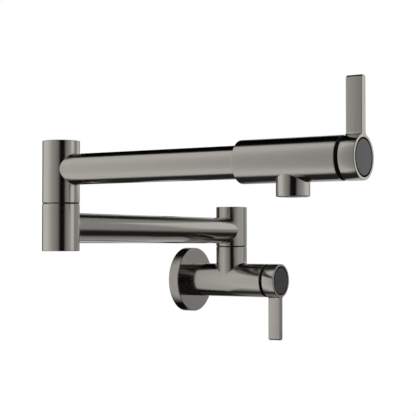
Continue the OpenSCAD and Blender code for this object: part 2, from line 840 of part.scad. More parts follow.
elbow_lower_barrel();
elbow_bottom_plug();
elbow_plug_o_ring();
at_elbow() spigot(elbow_root_z, elbow_seam_z, upper_arm_z);  // elbow_spigot
at_elbow() spigot_o_rings(elbow_seam_z, upper_arm_z);  // elbow_o_rings
at_elbow() thrust_washer(elbow_seam_z);  // elbow_thrust_washer
at_elbow() retaining_ring(upper_arm_z);  // elbow_retaining_ring
elbow_upper_barrel();
at_elbow() barrel_cap(upper_arm_z);  // elbow_top_cap
upper_arm_tube();
spout_valve_body();
spout_outlet();
aerator_housing();
aerator_honeycomb();
aerator_washer();
at_spout_valve() cartridge_housing();  // spout_cartridge_housing
at_spout_valve() housing_o_ring();  // spout_housing_o_ring
at_spout_valve() seat_seal();  // spout_seat_seal
at_spout_valve() fixed_disc();  // spout_fixed_disc
at_spout_valve() bonnet_nut();  // spout_bonnet_nut
at_spout_valve() spacer_ring();  // spout_spacer_ring
at_spout_valve() lever_handle();  // spout_lever_handle
at_spout_valve() handle_insert();  // spout_handle_insert
at_spout_valve() handle_screw();  // spout_handle_screw
at_spout_valve() stem();  // spout_stem
at_spout_valve() stem_o_rings();  // spout_stem_o_rings
at_spout_valve() moving_disc();  // spout_moving_disc
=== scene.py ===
"""Looks of a wall-mounted pot filler in satin gunmetal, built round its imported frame.

Laid out as an add-on: sizes, finishes and studio settings are property groups, each piece or group of
like pieces is an operator, and a sidebar panel lists them. Lengths are metres in the frame's own axes:
+Z up, -Y out of the wall, +X to the right of someone who faces the wall.
"""

import json
import math

import bmesh
import bpy
import numpy as np
from bpy.props import FloatProperty, FloatVectorProperty, IntProperty, PointerProperty
from bpy.types import Operator, Panel, PropertyGroup
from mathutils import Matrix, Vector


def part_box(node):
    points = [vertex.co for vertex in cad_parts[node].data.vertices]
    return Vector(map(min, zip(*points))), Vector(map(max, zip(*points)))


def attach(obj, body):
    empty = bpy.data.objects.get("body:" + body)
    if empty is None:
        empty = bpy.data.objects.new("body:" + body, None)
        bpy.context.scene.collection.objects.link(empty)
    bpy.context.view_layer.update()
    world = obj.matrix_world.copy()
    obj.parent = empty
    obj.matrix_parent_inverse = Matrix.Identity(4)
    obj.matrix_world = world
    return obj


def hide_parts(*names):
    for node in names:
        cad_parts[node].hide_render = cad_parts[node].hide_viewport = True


bl_info = {
    "name": "Pot filler looks",
    "version": (1, 0, 0),
    "blender": (4, 5, 0),
    "location": "3D view > Sidebar > Pot filler",
    "description": "Builds the surfaces, finishes and studio of a double-jointed pot filler",
    "category": "Object",
}

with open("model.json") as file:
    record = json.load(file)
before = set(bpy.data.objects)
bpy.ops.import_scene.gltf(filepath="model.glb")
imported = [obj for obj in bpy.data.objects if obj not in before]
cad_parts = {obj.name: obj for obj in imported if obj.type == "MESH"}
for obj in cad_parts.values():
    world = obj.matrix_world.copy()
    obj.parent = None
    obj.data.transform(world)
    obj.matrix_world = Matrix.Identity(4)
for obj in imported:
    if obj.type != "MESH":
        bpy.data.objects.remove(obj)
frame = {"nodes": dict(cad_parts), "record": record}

MM = 0.001


# Settings


def length(name, description, default, low, high):
    """Length setting. The numbers are millimetres, and the property holds metres."""
    return FloatProperty(
        name=name, description=description, default=default * MM, min=low * MM, max=high * MM,
        unit="LENGTH")


def colour(name, description, default):
    """Colour setting."""
    return FloatVectorProperty(
        name=name, description=description, subtype="COLOR", size=3, default=default, min=0.0, max=1.0)


def place_of(name, description, default):
    """Place setting."""
    return FloatVectorProperty(
        name=name, description=description, subtype="TRANSLATION", size=3, default=default)


class PotFillerSizes(PropertyGroup):
    """Small sizes of the visible surfaces. The large ones come from the frame."""

    stub_fillet: length(
        "Stub fillet", "Blend between the riser stub and the valve body", 3.0, 0.5, 3.5)
    arm_fillet: length(
        "Arm fillet", "Brazed fillet where an arm tube meets a column", 0.8, 0.3, 2.4)
    outlet_fillet: length(
        "Outlet fillet", "Brazed fillet where the outlet meets the spout body", 0.4, 0.3, 2.0)
    outlet_round: length("Outlet rounding", "Rounding of the outlet's lower rim", 1.0, 0.3, 1.4)
    edge_round: length(
        "Edge rounding", "Rounding of the free edges of bodies and columns", 0.5, 0.1, 1.0)
    seam_round: length("Seam rounding", "Rounding of the edges at seams and gaps", 0.7, 0.1, 0.7)
    flange_round: length("Flange rounding", "Rounding of the flange's front edge", 0.8, 0.2, 1.5)
    flange_wall: length(
        "Flange wall", "Wall thickness of the flange's face and rim", 2.6, 2.0, 3.2)
    collar_wall: length(
        "Collar wall", "Wall thickness of the collar behind the flange's face", 3.0, 2.6, 4.0)
    collar_length: length(
        "Collar length", "Length of the collar behind the flange's face", 6.0, 4.0, 7.0)
    body_wall: length(
        "Body wall", "Wall thickness of the valve bodies at their open fronts", 3.4, 2.9, 4.4)
    arm_wall: length("Arm wall", "Wall thickness of the arm tubes", 2.5, 1.5, 3.5)
    rear_overlap: length(
        "Rear overlap", "How far the spout body's rear end reaches over the arm", 1.6, 0.0, 2.0)
    rear_round: length("Rear rounding", "Rounding of the spout body's rear edge", 0.6, 0.4, 1.8)
    lever_thickness: length("Lever thickness", "Thickness of the flat lever", 7.0, 5.0, 9.0)
    lever_round: length(
        "Lever rounding", "Rounding of the lever's and hub's edges", 0.55, 0.2, 1.0)
    lever_tip_round: length(
        "Tip rounding", "Rounding of both edges of the tip's chamfers", 0.6, 0.2, 1.0)
    lever_tip_chamfer: length(
        "Tip chamfer", "Length of the chamfers at the lever's tip", 2.0, 0.5, 2.4)
    lever_fillet: length("Lever fillet", "Fillet between the lever and the hub", 3.0, 1.0, 6.0)
    running_gap: length("Running gap", "Gap between the spacer ring and the hub", 0.3, 0.2, 0.6)
    insert_gap: length("Insert gap", "Gap round the insert in the hub", 0.25, 0.1, 0.4)
    # The black ring round the insert's disc is painted shade: it stands for the dark gap between the
    # disc and the hub's rim.
    insert_groove: length(
        "Insert groove", "Width of the black carrier that shows round the disc", 1.2, 0.3, 1.5)
    insert_sink: length(
        "Insert sink", "Depth of the insert's disc under the hub's rim", 0.1, 0.0, 0.4)
    thread_pitch: length("Thread pitch", "Pitch of the half-inch supply thread", 1.814, 1.0, 2.5)
    thread_depth: length("Thread depth", "Depth of the half-inch supply thread", 1.162, 0.5, 1.5)
    segments: IntProperty(
        name="Segments", description="Steps round each turned surface",
        default=144, min=48, max=256)


class PotFillerFinish(PropertyGroup):
    """Colours of the finishes."""

    gunmetal: colour("Gunmetal", "Colour of the satin gunmetal plating", (0.4243, 0.405, 0.3723))
    gunmetal_roughness: FloatProperty(
        name="Gunmetal roughness", description="Roughness of the satin gunmetal plating",
        default=0.14, min=0.05, max=0.5, subtype="FACTOR")
    anthracite: colour(
        "Anthracite", "Colour of the blasted insert in the wall handle", (0.051, 0.051, 0.053))
    graphite: colour(
        "Graphite", "Colour of the satin insert in the spout handle", (0.056, 0.056, 0.057))
    black_plastic: colour(
        "Black plastic", "Colour of the spacer rings and thrust washers", (0.004, 0.004, 0.004))
    rubber: colour("Rubber", "Colour of the seals", (0.02, 0.02, 0.02))
    brass: colour("Brass", "Colour of the turned brass inside", (0.72, 0.54, 0.27))
    steel: colour(
        "Stainless steel", "Colour of the rings, screws and aerator cup", (0.62, 0.61, 0.59))
    ceramic: colour("Ceramic", "Colour of the cartridge discs", (0.86, 0.84, 0.79))
    nylon: colour("Nylon", "Colour of the aerator's honeycomb", (0.78, 0.78, 0.74))


class PotFillerStudio(PropertyGroup):
    """Camera, floor and lights."""

    camera_place: place_of("Camera place", "Where the camera stands", (-1.1642, -0.7830, 0.0403))
    camera_yaw: FloatProperty(
        name="Camera yaw", description="How far the view is turned to the right of +Y",
        default=math.radians(57.08), subtype="ANGLE")
    camera_pitch: FloatProperty(
        name="Camera pitch", description="How far the view looks up",
        default=math.radians(1.69), subtype="ANGLE")
    camera_lens: FloatProperty(
        name="Lens", description="Focal length on a 36 mm wide sensor, in millimetres",
        default=105.49, min=20.0, max=300.0)
    floor_middle: place_of("Floor middle", "Middle of the floor disc", (-0.15, -0.18, -0.5))
    floor_radius: FloatProperty(
        name="Floor radius", description="Radius of the floor disc",
        default=1.2, min=0.5, max=3.0, unit="LENGTH")
    room_level: FloatProperty(
        name="Room level", description="Brightness of the white room round the object",
        default=0.9, min=0.2, max=1.0)
    lamp_place: place_of("Lamp place", "Where the soft lamp hangs", (-0.35, -0.35, 1.9))
    lamp_power: FloatProperty(
        name="Lamp power", description="Power of the soft lamp, in watts",
        default=50.0, min=0.0, max=200.0)


# Small sizes that no setting changes: the solids' clearances at seats and in bearings, and how far an
# edge is broken in a cap's seat, in a gap, out of sight, round a face, in a mouth and round the aerator.
SEAT_FIT, BEARING_FIT = 0.05 * MM, 0.06 * MM
CAP_EDGE, GAP_EDGE, HIDDEN_EDGE = 0.12 * MM, 0.15 * MM, 0.2 * MM
FACE_EDGE, MOUTH_EDGE, AERATOR_EDGE = 0.25 * MM, 0.3 * MM, 0.35 * MM

# How far a branch's bore goes on inside the main cylinder.
BORE_OVERLAP = 2 * MM

# Far cards of the studio that the metal mirrors, in degrees: azimuth from +Y towards +X, elevation,
# half width, half height and softness of the edges, then the brightness. Later ones cover earlier ones.
STUDIO_CARDS = {
    "bright_left": (335, 0, 30, 22, 20, 1.0),
    "right_grey": (120, 8, 26, 34, 18, 0.46),
    "right_low_fade": (105, -34, 25, 20, 30, 0.42),
    "far_right_fade": (78, -4, 26, 22, 14, 0.58),
    "camera_flag": (228, 0, 14, 90, 10, 0.01),
    "front_floor_flag": (200, -62, 90, 40, 16, 0.03),
    "front_ceiling_flag": (200, 78, 90, 38, 20, 0.02),
    "front_high_flag": (206, 42, 24, 18, 14, 0.02),
    "zenith": (0, 90, 200, 26, 14, 0.01),
    "nadir": (0, -90, 200, 26, 14, 0.03),
    "low_strip": (130, -20, 24, 13, 16, 0.02),
    "ceiling_flag": (44, 64, 53, 37, 18, 0.0),
    "far_flag": (34, 0, 21, 90, 12, 0.0),
    "floor_flag": (19, -60, 28.5, 36, 24, 0.035),
}

# Near cards: both ends on the plan, the lowest and highest edge, and the brightness.
NEAR_CARDS = {
    "bright_right": ((0.471, -0.447), (0.590, -0.100), 0.12, 0.45, 0.95),
    "bright_near": ((-0.150, -0.700), (-0.079, -0.396), 0.0, 0.30, 1.0),
}

# Scrim: its middle on the plan, half width, half height, the height up to which its right half is
# closed, and the distance from its middle at which it has half its full brightness. The ramps go from
# one distance across it to another, and the last two say what the brightness is multiplied by there.
SCRIM_MIDDLE, SCRIM_HALF_WIDTH, SCRIM_HALF_HEIGHT = (-0.774, -0.563), 5.0, 4.0
SCRIM_OPENING, SCRIM_FALL, SCRIM_DARKEST = 0.4, 0.7, 0.002
SCRIM_DARK_MIDDLE = (0.13, 0.30)
SCRIM_RIGHT_FADE = (1.2, 4.0, 1.0, 0.55)
SCRIM_LEFT_LIFT = (-1.0, -1.6, 1.0, 1.1)

# Card with the flange's painted shadow round it and painted shades of the wall under and over it, all in
# the plane of the wall: ramps as above.
WALL_CARDS_MIDDLE = (0.0, 0.004)
WALL_CARD_HALF_WIDTH, WALL_CARD_HALF_HEIGHT, WALL_CARD_DARKEST = 0.13, 0.12, 0.006
WALL_CARD_SHADOW_CORE = (0.022, 0.043)
WALL_CARD_SHADOW_FADE = (0.05, 0.2, 0.66, 0.95)
WALL_CARD_END, WALL_CARD_LEFT_ONLY = (0.125, 0.1), (0.0, -0.008)
WALL_SHADE_HALF_WIDTH, WALL_SHADE_DARKEST = 0.15, 0.035
WALL_SHADE_LEFT, WALL_SHADE_RIGHT, WALL_SHADE_RISE = (-0.145, -0.01), (0.14, 0.1), (0.0, 0.1)

# Painted shades on the wall: the lowest and highest edge, and the brightness of the right side.
WALL_SHADES = {
    "low_wall_shade": (-0.32, -0.125, 0.32),
    "high_wall_shade": (0.15, 0.34, 0.035),
}


# Places


def lowest(node):
    """Lowest corner of a frame node."""
    return np.array(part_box(node)[0])


def highest(node):
    """Highest corner of a frame node."""
    return np.array(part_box(node)[1])


def middle(node):
    """Middle of a frame node's box."""
    return (lowest(node) + highest(node)) / 2


def radius(node, axis=0):
    """Half the width of a frame node's box along one axis."""
    return (highest(node) - lowest(node))[axis] / 2


WALL_AXIS, SPOUT_AXIS = middle("wall_handle_insert"), middle("spout_handle_insert")
RISER_AXIS, ELBOW_AXIS = middle("riser_top_cap"), middle("elbow_top_cap")
OUTLET_AXIS = middle("aerator_housing")
RIGHT, OUT, UP = np.array([1.0, 0, 0]), np.array([0, -1.0, 0]), np.array([0, 0, 1.0])

# A place times one of these is its foot on the wall's plane, or on the plan through the supply axis.
ON_WALL, ON_PLAN = np.array([1, 0, 1]), np.array([1, 1, 0])


# Shapes


def full_turn(steps):
    """Angles of that many steps round a circle."""
    return np.linspace(0, 2 * np.pi, steps, endpoint=False)


def rings(r, height, turn):
    """Points (r cos turn, r sin turn, height), for numbers or arrays that fit together."""
    return np.stack(
        np.broadcast_arrays(r * np.cos(turn), r * np.sin(turn), height + 0 * turn), -1)


def swept(first, last, angle, t):
    """Unit vectors from first to last, which are angle apart, blended by sines as t goes 0 to 1."""
    return (np.sin((1 - t) * angle) * first + np.sin(t * angle) * last) / np.sin(angle)


def rounded_outline(corners, steps=5, support=0.12 * MM):
    """Closed outline through corners (a, b, rounding), with an arc at each rounded corner.

    Each arc touches both sides at rounding / tan(half the corner's angle) from the corner, and its
    points are centre + rounding * (the unit vectors to both touching points, blended by sines). One
    support point on each side keeps the shading of the flat beside the arc flat.
    """
    corners = np.asarray(corners, float)
    points = []
    for before, here, after in zip(np.roll(corners, 1, 0), corners, np.roll(corners, -1, 0)):
        corner, rounding = here[:2], here[2]
        if rounding <= 0:
            points.append(corner[None])
            continue
        back, ahead = before[:2] - corner, after[:2] - corner
        room = min(np.linalg.norm(back), np.linalg.norm(ahead))
        back, ahead = back / np.linalg.norm(back), ahead / np.linalg.norm(ahead)
        half = np.arccos(np.clip(back @ ahead, -1, 1)) / 2
        reach = rounding / np.tan(half)
        centre = corner + (back + ahead) / np.linalg.norm(back + ahead) * rounding / np.sin(half)
        first = (corner + back * reach - centre) / rounding
        last = (corner + ahead * reach - centre) / rounding
        arc = swept(first, last, np.pi - 2 * half, np.linspace(0, 1, steps + 1)[:, None])
        reach += min(support, max(room / 2 - reach, 0) / 2)
        points += [(corner + back * reach)[None], centre + rounding * arc,
                   (corner + ahead * reach)[None]]
    return np.concatenate(points)


def lathe(corners, segments):
    """Turned surface: the outline (radius, height) goes round the local +Z axis.

    Point (i, j) is (r_i cos j, r_i sin j, h_i). The outline is closed, so the surface is too.
    """
    outline = rounded_outline(corners)
    return rings(outline[:, :1], outline[:, 1:], full_turn(segments))


def tube_rows(r, start, end, turn, count=9):
    """Rings of radius r along local +Z from start to end."""
    return rings(r, np.linspace(start, end, count)[:, None], turn)


def fillet_rows(branch_r, main_r, fillet, turn, steps=7, sink=0.8 * MM):
    """Rolling-ball fillet where a branch along +Z leaves a larger cylinder along Y.

    The ball's centre keeps branch_r + fillet from the branch's axis and main_r + fillet from the main
    axis, so it is ((branch_r + fillet) cos, (branch_r + fillet) sin, height) with height =
    sqrt((main_r + fillet)^2 - x^2). Rows go from a ring sunk in the main wall, over the foot, to the
    branch: centre + fillet * (both contact directions, blended by sines).
    """
    reach = branch_r + fillet
    height = np.sqrt((main_r + fillet) ** 2 - (reach * np.cos(turn)) ** 2)
    centre = rings(reach, height, turn)
    to_branch = rings(-1, 0, turn)
    to_main = -centre * (1, 0, 1) / (main_r + fillet)
    angle = np.arccos(np.sum(to_branch * to_main, -1))[:, None]
    t = np.linspace(0, 1, steps + 1)[:, None, None]
    rows = centre + fillet * swept(to_main, to_branch, angle, t)
    sunk = rows[:1] * (1 - sink / main_r, 1, 1 - sink / main_r)
    return np.concatenate([sunk, rows])


def branch_surface(branch_r, main_r, fillet, end_corners, bore, segments):
    """Round branch with a fillet at its foot and a turned end, hollow, along local +Z.

    The fillet's rows are followed by the rows of the end, an outline (radius, height) from the outside
    to the bore, and by one row inside the main cylinder.
    """
    turn = full_turn(segments)
    inside = (bore, main_r - BORE_OVERLAP, 0)
    ends = rounded_outline([(branch_r, main_r, 0), *end_corners, inside], 4)[1:]
    foot = fillet_rows(branch_r, main_r, fillet, turn)
    return np.concatenate([foot, rings(ends[:, :1], ends[:, 1:], turn)])


def bridge_tube(tube_r, main_r, fillet, wall, distance, segments):
    """Tube along local +Z between two equal columns along Y, filleted to both, hollow.

    The second end is the first one mirrored at half the distance. The bore closes the surface.
    """
    turn = full_turn(segments)
    first = fillet_rows(tube_r, main_r, fillet, turn)
    second = first[::-1] * (1, 1, -1) + (0, 0, distance)
    straight = tube_rows(tube_r, main_r + 2 * fillet, distance - main_r - 2 * fillet, turn)
    bore = tube_rows(tube_r - wall, main_r, distance - main_r, turn)[::-1]
    return np.concatenate([first, straight, second, bore])


def thread_ring(crest_r, depth, pitch, end, wall, segments, per_turn=10, flattening=1.15):
    """Internal thread along local +Z: the inner radius is crest_r + depth * |triangle wave|.

    The wave's phase is height / pitch - turn / 2 pi, which makes a right-hand helix. Its roots are cut
    flat, and it fades out at both ends. The outer wall closes the ring.
    """
    turn = full_turn(segments)
    height = np.linspace(0, end, int(end / pitch * per_turn))[:, None]
    phase = height / pitch - turn / (2 * np.pi)
    wave = np.abs(2 * (phase - np.floor(phase + 0.5)))
    fade = np.clip(np.minimum(height, end - height) / pitch, 0, 1)
    r = crest_r + depth * (1 - fade * (1 - np.clip(wave * flattening, 0, 1)))
    outer = tube_rows(crest_r + depth + wall, end, 0, turn, 2)
    return np.concatenate([rings(r, height, turn), outer])


def lever_outline(hub_r, half, tip, tip_round, chamfer, fillet, slope=math.radians(50)):
    """Closed outline of hub and lever with its unit normals, seen along the hub's axis.

    Right half, from the tip's middle clockwise: flat tip, an arc of tip_round down to the slope, a
    straight chamfer along (sin slope, -cos slope), a second arc down to the straight side at x = half,
    a concave fillet of centre (half + fillet, sqrt((hub_r + fillet)^2 - x^2)) and the hub's arc. The
    left half mirrors it. Every stretch is tangent to the next, so an inset by d is point - d * normal.
    """
    centre_x = half + fillet
    centre_y = math.sqrt((hub_r + fillet) ** 2 - centre_x ** 2)
    meet = math.atan2(centre_y, centre_x)
    upper_arc, lower_arc = np.linspace(np.pi / 2, slope, 4), np.linspace(slope, 0, 5)
    corner = np.concatenate([upper_arc, lower_arc])
    along = np.where(np.arange(len(corner)) < len(upper_arc), 0.0, chamfer)
    side_top = tip - tip_round - chamfer * math.cos(slope)
    flat_half = half - tip_round - chamfer * math.sin(slope)
    corner_x = flat_half + along * math.sin(slope) + tip_round * np.cos(corner)
    corner_y = tip - tip_round - along * math.cos(slope) + tip_round * np.sin(corner)
    flat = np.linspace(0, flat_half, 3)[:-1]
    side = np.linspace(side_top, centre_y, 12)[1:]
    hollow = np.linspace(np.pi, np.pi + meet, 9)[1:]
    hub = np.linspace(meet, -np.pi / 2, 56)[1:]
    stretches = (
        (flat, tip, 0, 1),
        (corner_x, corner_y, np.cos(corner), np.sin(corner)),
        (half, side, 1, 0),
        (centre_x + fillet * np.cos(hollow), centre_y + fillet * np.sin(hollow),
         -np.cos(hollow), -np.sin(hollow)),
        (hub_r * np.cos(hub), hub_r * np.sin(hub), np.cos(hub), np.sin(hub)))
    right = np.concatenate([np.stack(np.broadcast_arrays(*each), -1) for each in stretches])
    both = np.concatenate([right, right[-2:0:-1] * (-1, 1, -1, 1)])
    return both[:, :2], both[:, 2:]


def lever_casting(outline, normals, back, face, edge, circles, support=1.4):
    """Hub and lever in one casting along local +Z, closed through its bore.

    The outer skin is the outline, inset by edge * (1 - sin) while its height runs by edge * (1 - cos) at
    both rims, with a row at support * edge inside each. The inner rings are circles (radius, height) at
    the outline's own polar angles, so faces between outline and circle never cross.
    """
    quarter = np.linspace(0, np.pi / 2, 6)
    falling, rising = edge * (1 - np.sin(quarter)), edge * (1 - np.cos(quarter))
    inside = [edge * support]
    inset = np.concatenate([inside, falling, rising, inside])[:, None, None]
    circles = np.asarray(circles, float)
    polar = outline / np.linalg.norm(outline, axis=-1, keepdims=True)
    flat = np.concatenate([outline - inset * normals, circles[:, :1, None] * polar])
    height = np.concatenate([[back], back + rising, face - falling, [face], circles[:, 1]])
    return np.concatenate([flat, height[:, None, None] + 0 * flat[..., :1]], -1)


def placed(grid, origin, across, up, along):
    """Grid of local points moved to origin + x * across + y * up + z * along."""
    return np.asarray(origin) + grid @ np.array([across, up, along], float)


def turned_shell(corners, foot, way):
    """Turned surface whose axis leaves foot along way, which is OUT or UP."""
    segments = bpy.context.scene.pot_filler_sizes.segments
    return placed(lathe(corners, segments), foot, RIGHT, UP if way is OUT else OUT, way)


def grid_arrays(grid):
    """Points and quads of a grid that closes on itself both ways, with the faces pointing outwards."""
    rows, columns = grid.shape[:2]
    i, j = np.meshgrid(np.arange(rows), np.arange(columns), indexing="ij")
    here, below = i * columns, (i + 1) % rows * columns
    j_next = (j + 1) % columns
    quads = np.stack([here + j, here + j_next, below + j_next, below + j], -1).reshape(-1, 4)
    points = grid.reshape(-1, 3)
    corners = points[quads]
    first, second, third = (corners[:, k] - corners[:, 0] for k in (1, 2, 3))
    across = np.cross(first, second) + np.cross(second, third)
    return points, quads if np.sum(across * corners[:, 0]) > 0 else quads[:, ::-1]


def linked(name, data):
    """Makes an object of some data and puts it in the scene."""
    thing = bpy.data.objects.new(name, data)
    bpy.context.scene.collection.objects.link(thing)
    return thing


def make_piece(name, shells, body, node, sharp=math.radians(28)):
    """Makes a piece of closed shells (grid, material), which rides on a body for one node."""
    points, quads, marks, materials = [], [], [], []
    start = 0
    for grid, material in shells:
        shell_points, shell_quads = grid_arrays(grid)
        if material not in materials:
            materials.append(material)
        points.append(shell_points)
        quads.append(shell_quads + start)
        marks.append(np.full(len(shell_quads), materials.index(material), np.int32))
        start += len(shell_points)
    mesh = bpy.data.meshes.new(name)
    mesh.from_pydata(np.concatenate(points).tolist(), [], np.concatenate(quads).tolist())
    mesh.polygons.foreach_set("material_index", np.concatenate(marks))
    merged = bmesh.new()
    merged.from_mesh(mesh)
    bmesh.ops.remove_doubles(merged, verts=merged.verts, dist=1e-7)
    bmesh.ops.dissolve_degenerate(merged, edges=merged.edges, dist=1e-8)
    merged.to_mesh(mesh)
    merged.free()
    mesh.shade_smooth()
    mesh.set_sharp_from_angle(angle=sharp)
    for material in materials:
        mesh.materials.append(material)
    piece = linked(name, mesh)
    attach(piece, body)
    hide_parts(node)


# Nodes of materials


def add_node(tree, kind, inputs=None, output=0, **settings):
    """Adds a shader node, sets or links its inputs, and returns one output, or all for None."""
    node = tree.nodes.new("ShaderNode" + kind)
    for key, value in settings.items():
        setattr(node, key, value)
    for key, value in (inputs or {}).items():
        if isinstance(value, bpy.types.NodeSocket):
            tree.links.new(value, node.inputs[key])
        else:
            node.inputs[key].default_value = value
    return node.outputs if output is None else node.outputs[output]


def maths(tree, operation, first, second=0.0, third=0.0, clamp=False):
    """Adds a Math node and returns its result."""
    inputs = {0: first, 1: second, 2: third}
    return add_node(tree, "Math", inputs, operation=operation, use_clamp=clamp)


def vector_maths(tree, operation, first, second=(0.0, 0.0, 0.0)):
    """Adds a Vector Math node and returns its result: a number for a length or a dot product."""
    output = "Value" if operation in ("LENGTH", "DOT_PRODUCT") else "Vector"
    return add_node(tree, "VectorMath", {0: first, 1: second}, output, operation=operation)


def ramp(tree, value, start, end, first=0.0, last=1.0, kind="SMOOTHSTEP"):
    """Adds a Map Range node: first up to start, last from end on, and a smooth step between them."""
    return add_node(tree, "MapRange", {
        "Value": value, "From Min": start, "From Max": end, "To Min": first, "To Max": last},
        interpolation_type=kind)


def noise(tree, place, scale, detail, roughness=0.5):
    """Adds a Noise Texture and returns its value."""
    return add_node(tree, "TexNoise", {
        "Vector": place, "Scale": scale, "Detail": detail, "Roughness": roughness})


def turned_grain(tree, start):
    """Fine lines that run round an axis, as a lathe or a belt leaves them.

    The noise reads (height along the axis, distance from it) finely and the plain position coarsely, so
    each line goes round the axis and fades in and out on its way.
    """
    local = vector_maths(tree, "SUBTRACT", start["Vector"], start["Centre"])
    along = vector_maths(tree, "DOT_PRODUCT", local, start["Axis"])
    on_axis = add_node(tree, "VectorMath", {0: start["Axis"], "Scale": along}, operation="SCALE")
    away = vector_maths(tree, "LENGTH", vector_maths(tree, "SUBTRACT", local, on_axis))
    drift = vector_maths(tree, "DOT_PRODUCT", local, (1.0, 0.8, 0.6))
    place = add_node(tree, "CombineXYZ", {
        0: maths(tree, "MULTIPLY", along, start["Lines"]),
        1: maths(tree, "MULTIPLY", away, start["Lines"]),
        2: maths(tree, "MULTIPLY", drift, start["Run"])})
    lines = noise(tree, place, scale=1.0, detail=3.0, roughness=0.6)
    return lines, noise(tree, local, scale=38.0, detail=2.0)


def straight_grain(tree, start):
    """Fine lines along one direction, as a belt leaves them on a flat bar.

    The noise reads the position times Stretch, which is coarse along the lines and fine across them.
    """
    place = vector_maths(tree, "MULTIPLY", start["Vector"], start["Stretch"])
    lines = noise(tree, place, scale=1.0, detail=3.0, roughness=0.6)
    return lines, noise(tree, start["Vector"], scale=45.0, detail=2.0)


def speckle(tree, start):
    """Fine even speckle of a blasted or moulded surface."""
    place = start["Vector"]
    grains = noise(tree, place, start["Grains"], detail=2.0, roughness=0.55)
    return grains, noise(tree, place, scale=60.0, detail=2.0)


def edge_wear(tree, start):
    """Mask of the outer edges, where handling polishes a finish: pointiness over a flat's level."""
    pointiness = add_node(tree, "NewGeometry", output="Pointiness")
    flat_level, full_wear = 0.52, 0.62
    edge = ramp(tree, pointiness, flat_level, full_wear, kind="LINEAR")
    return (maths(tree, "MULTIPLY", edge, start["Amount"]),)


def settled_dust(tree, start):
    """Mask of faint dust: upward normals times a soft noise."""
    normal = add_node(tree, "NewGeometry", output="Normal")
    up = maths(tree, "MAXIMUM", vector_maths(tree, "DOT_PRODUCT", normal, (0.0, 0.0, 1.0)), 0.0)
    mask = maths(tree, "MULTIPLY", up, noise(tree, start["Vector"], scale=160.0, detail=4.0))
    return (maths(tree, "MULTIPLY", mask, start["Amount"]),)


def studio_card(tree, start):
    """One soft-edged card of the studio, seen in a direction.

    The card covers Level with its own brightness where the direction's azimuth is within half the width
    of Facing and its elevation within half the height of Elevation, with smooth edges.
    """
    flat = vector_maths(tree, "MULTIPLY", start["Direction"], (1.0, 1.0, 0.0))
    flat = vector_maths(tree, "NORMALIZE", flat)
    facing = vector_maths(tree, "DOT_PRODUCT", flat, start["Facing"])
    facing = maths(tree, "MINIMUM", maths(tree, "MAXIMUM", facing, -1.0), 1.0)
    aside = maths(tree, "DEGREES", maths(tree, "ARCCOSINE", facing))
    height = add_node(tree, "SeparateXYZ", {0: start["Direction"]}, 2)
    height = maths(tree, "DEGREES", maths(tree, "ARCSINE", height))
    above = maths(tree, "ABSOLUTE", maths(tree, "SUBTRACT", height, start["Elevation"]))
    masks = []
    for value, half in ((aside, start["Half Width"]), (above, start["Half Height"])):
        inner, outer = (
            maths(tree, "MULTIPLY_ADD", start["Softness"], side, half) for side in (-0.5, 0.5))
        masks.append(ramp(tree, value, outer, inner))
    change = maths(tree, "SUBTRACT", start["Card Level"], start["Level"])
    return (maths(tree, "MULTIPLY_ADD", maths(tree, "MULTIPLY", *masks), change, start["Level"]),)


# Shared node groups: what fills each, its inputs with their defaults, and its outputs.
NODE_GROUPS = {
    "turned_grain": (turned_grain, {
        "Vector": (0, 0, 0), "Centre": (0, 0, 0), "Axis": (0, 0, 1), "Lines": 2600.0, "Run": 90.0},
        ("Height", "Cloud")),
    "straight_grain": (
        straight_grain, {"Vector": (0, 0, 0), "Stretch": (1, 1, 1)}, ("Height", "Cloud")),
    "speckle": (speckle, {"Vector": (0, 0, 0), "Grains": 1800.0}, ("Height", "Cloud")),
    "edge_wear": (edge_wear, {"Amount": 1.0}, ("Mask",)),
    "settled_dust": (settled_dust, {"Vector": (0, 0, 0), "Amount": 0.1}, ("Mask",)),
    "studio_card": (studio_card, {
        "Direction": (0, 0, 1), "Facing": (0, 1, 0), "Elevation": 0.0, "Half Width": 10.0,
        "Half Height": 10.0, "Softness": 10.0, "Card Level": 0.0, "Level": 1.0}, ("Level",)),
}


def shared_group(name):
    """The node group of that name, made at its first use.

    A number among the inputs' defaults makes a float socket, and a triple a vector socket.
    """
    if name in bpy.data.node_groups:
        return bpy.data.node_groups[name]
    fill, inputs, outputs = NODE_GROUPS[name]
    group = bpy.data.node_groups.new(name, "ShaderNodeTree")
    for label, default in inputs.items():
        kind = "NodeSocketFloat" if isinstance(default, float) else "NodeSocketVector"
        socket = group.interface.new_socket(name=label, in_out="INPUT", socket_type=kind)
        socket.default_value = default
    for label in outputs:
        group.interface.new_socket(name=label, in_out="OUTPUT", socket_type="NodeSocketFloat")
    results = fill(group, group.nodes.new("NodeGroupInput").outputs)
    for result, socket in zip(results, group.nodes.new("NodeGroupOutput").inputs):
        group.links.new(result, socket)
    return group


def group_node(tree, name, inputs, output=0):
    """Places a shared group in a material with its own values."""
    return add_node(tree, "Group", inputs, output, node_tree=shared_group(name))


def colour_mix(tree, factor, first, second):
    """Adds a Mix node for colours and returns its result."""
    return add_node(tree, "Mix", {0: factor, 6: first, 7: second}, 2, data_type="RGBA")


def new_material(name):
    """Makes a material and returns it with its node tree."""
    material = bpy.data.materials.new(name)
    material.use_nodes = True
    return material, material.node_tree


def shade_of(base, factor):
    """A colour times a factor, with full alpha."""
    return (*[min(channel * factor, 1.0) for channel in base], 1.0)


# Finishes

DUST_COLOUR = (0.5, 0.49, 0.47, 1.0)
WORN_FACTOR, DUST_ROUGHNESS = 1.25, 0.5
LINES_SHARE, CLOUD_SHARE = 0.55, 0.45
PLATING_LINES = 0.0005 * MM


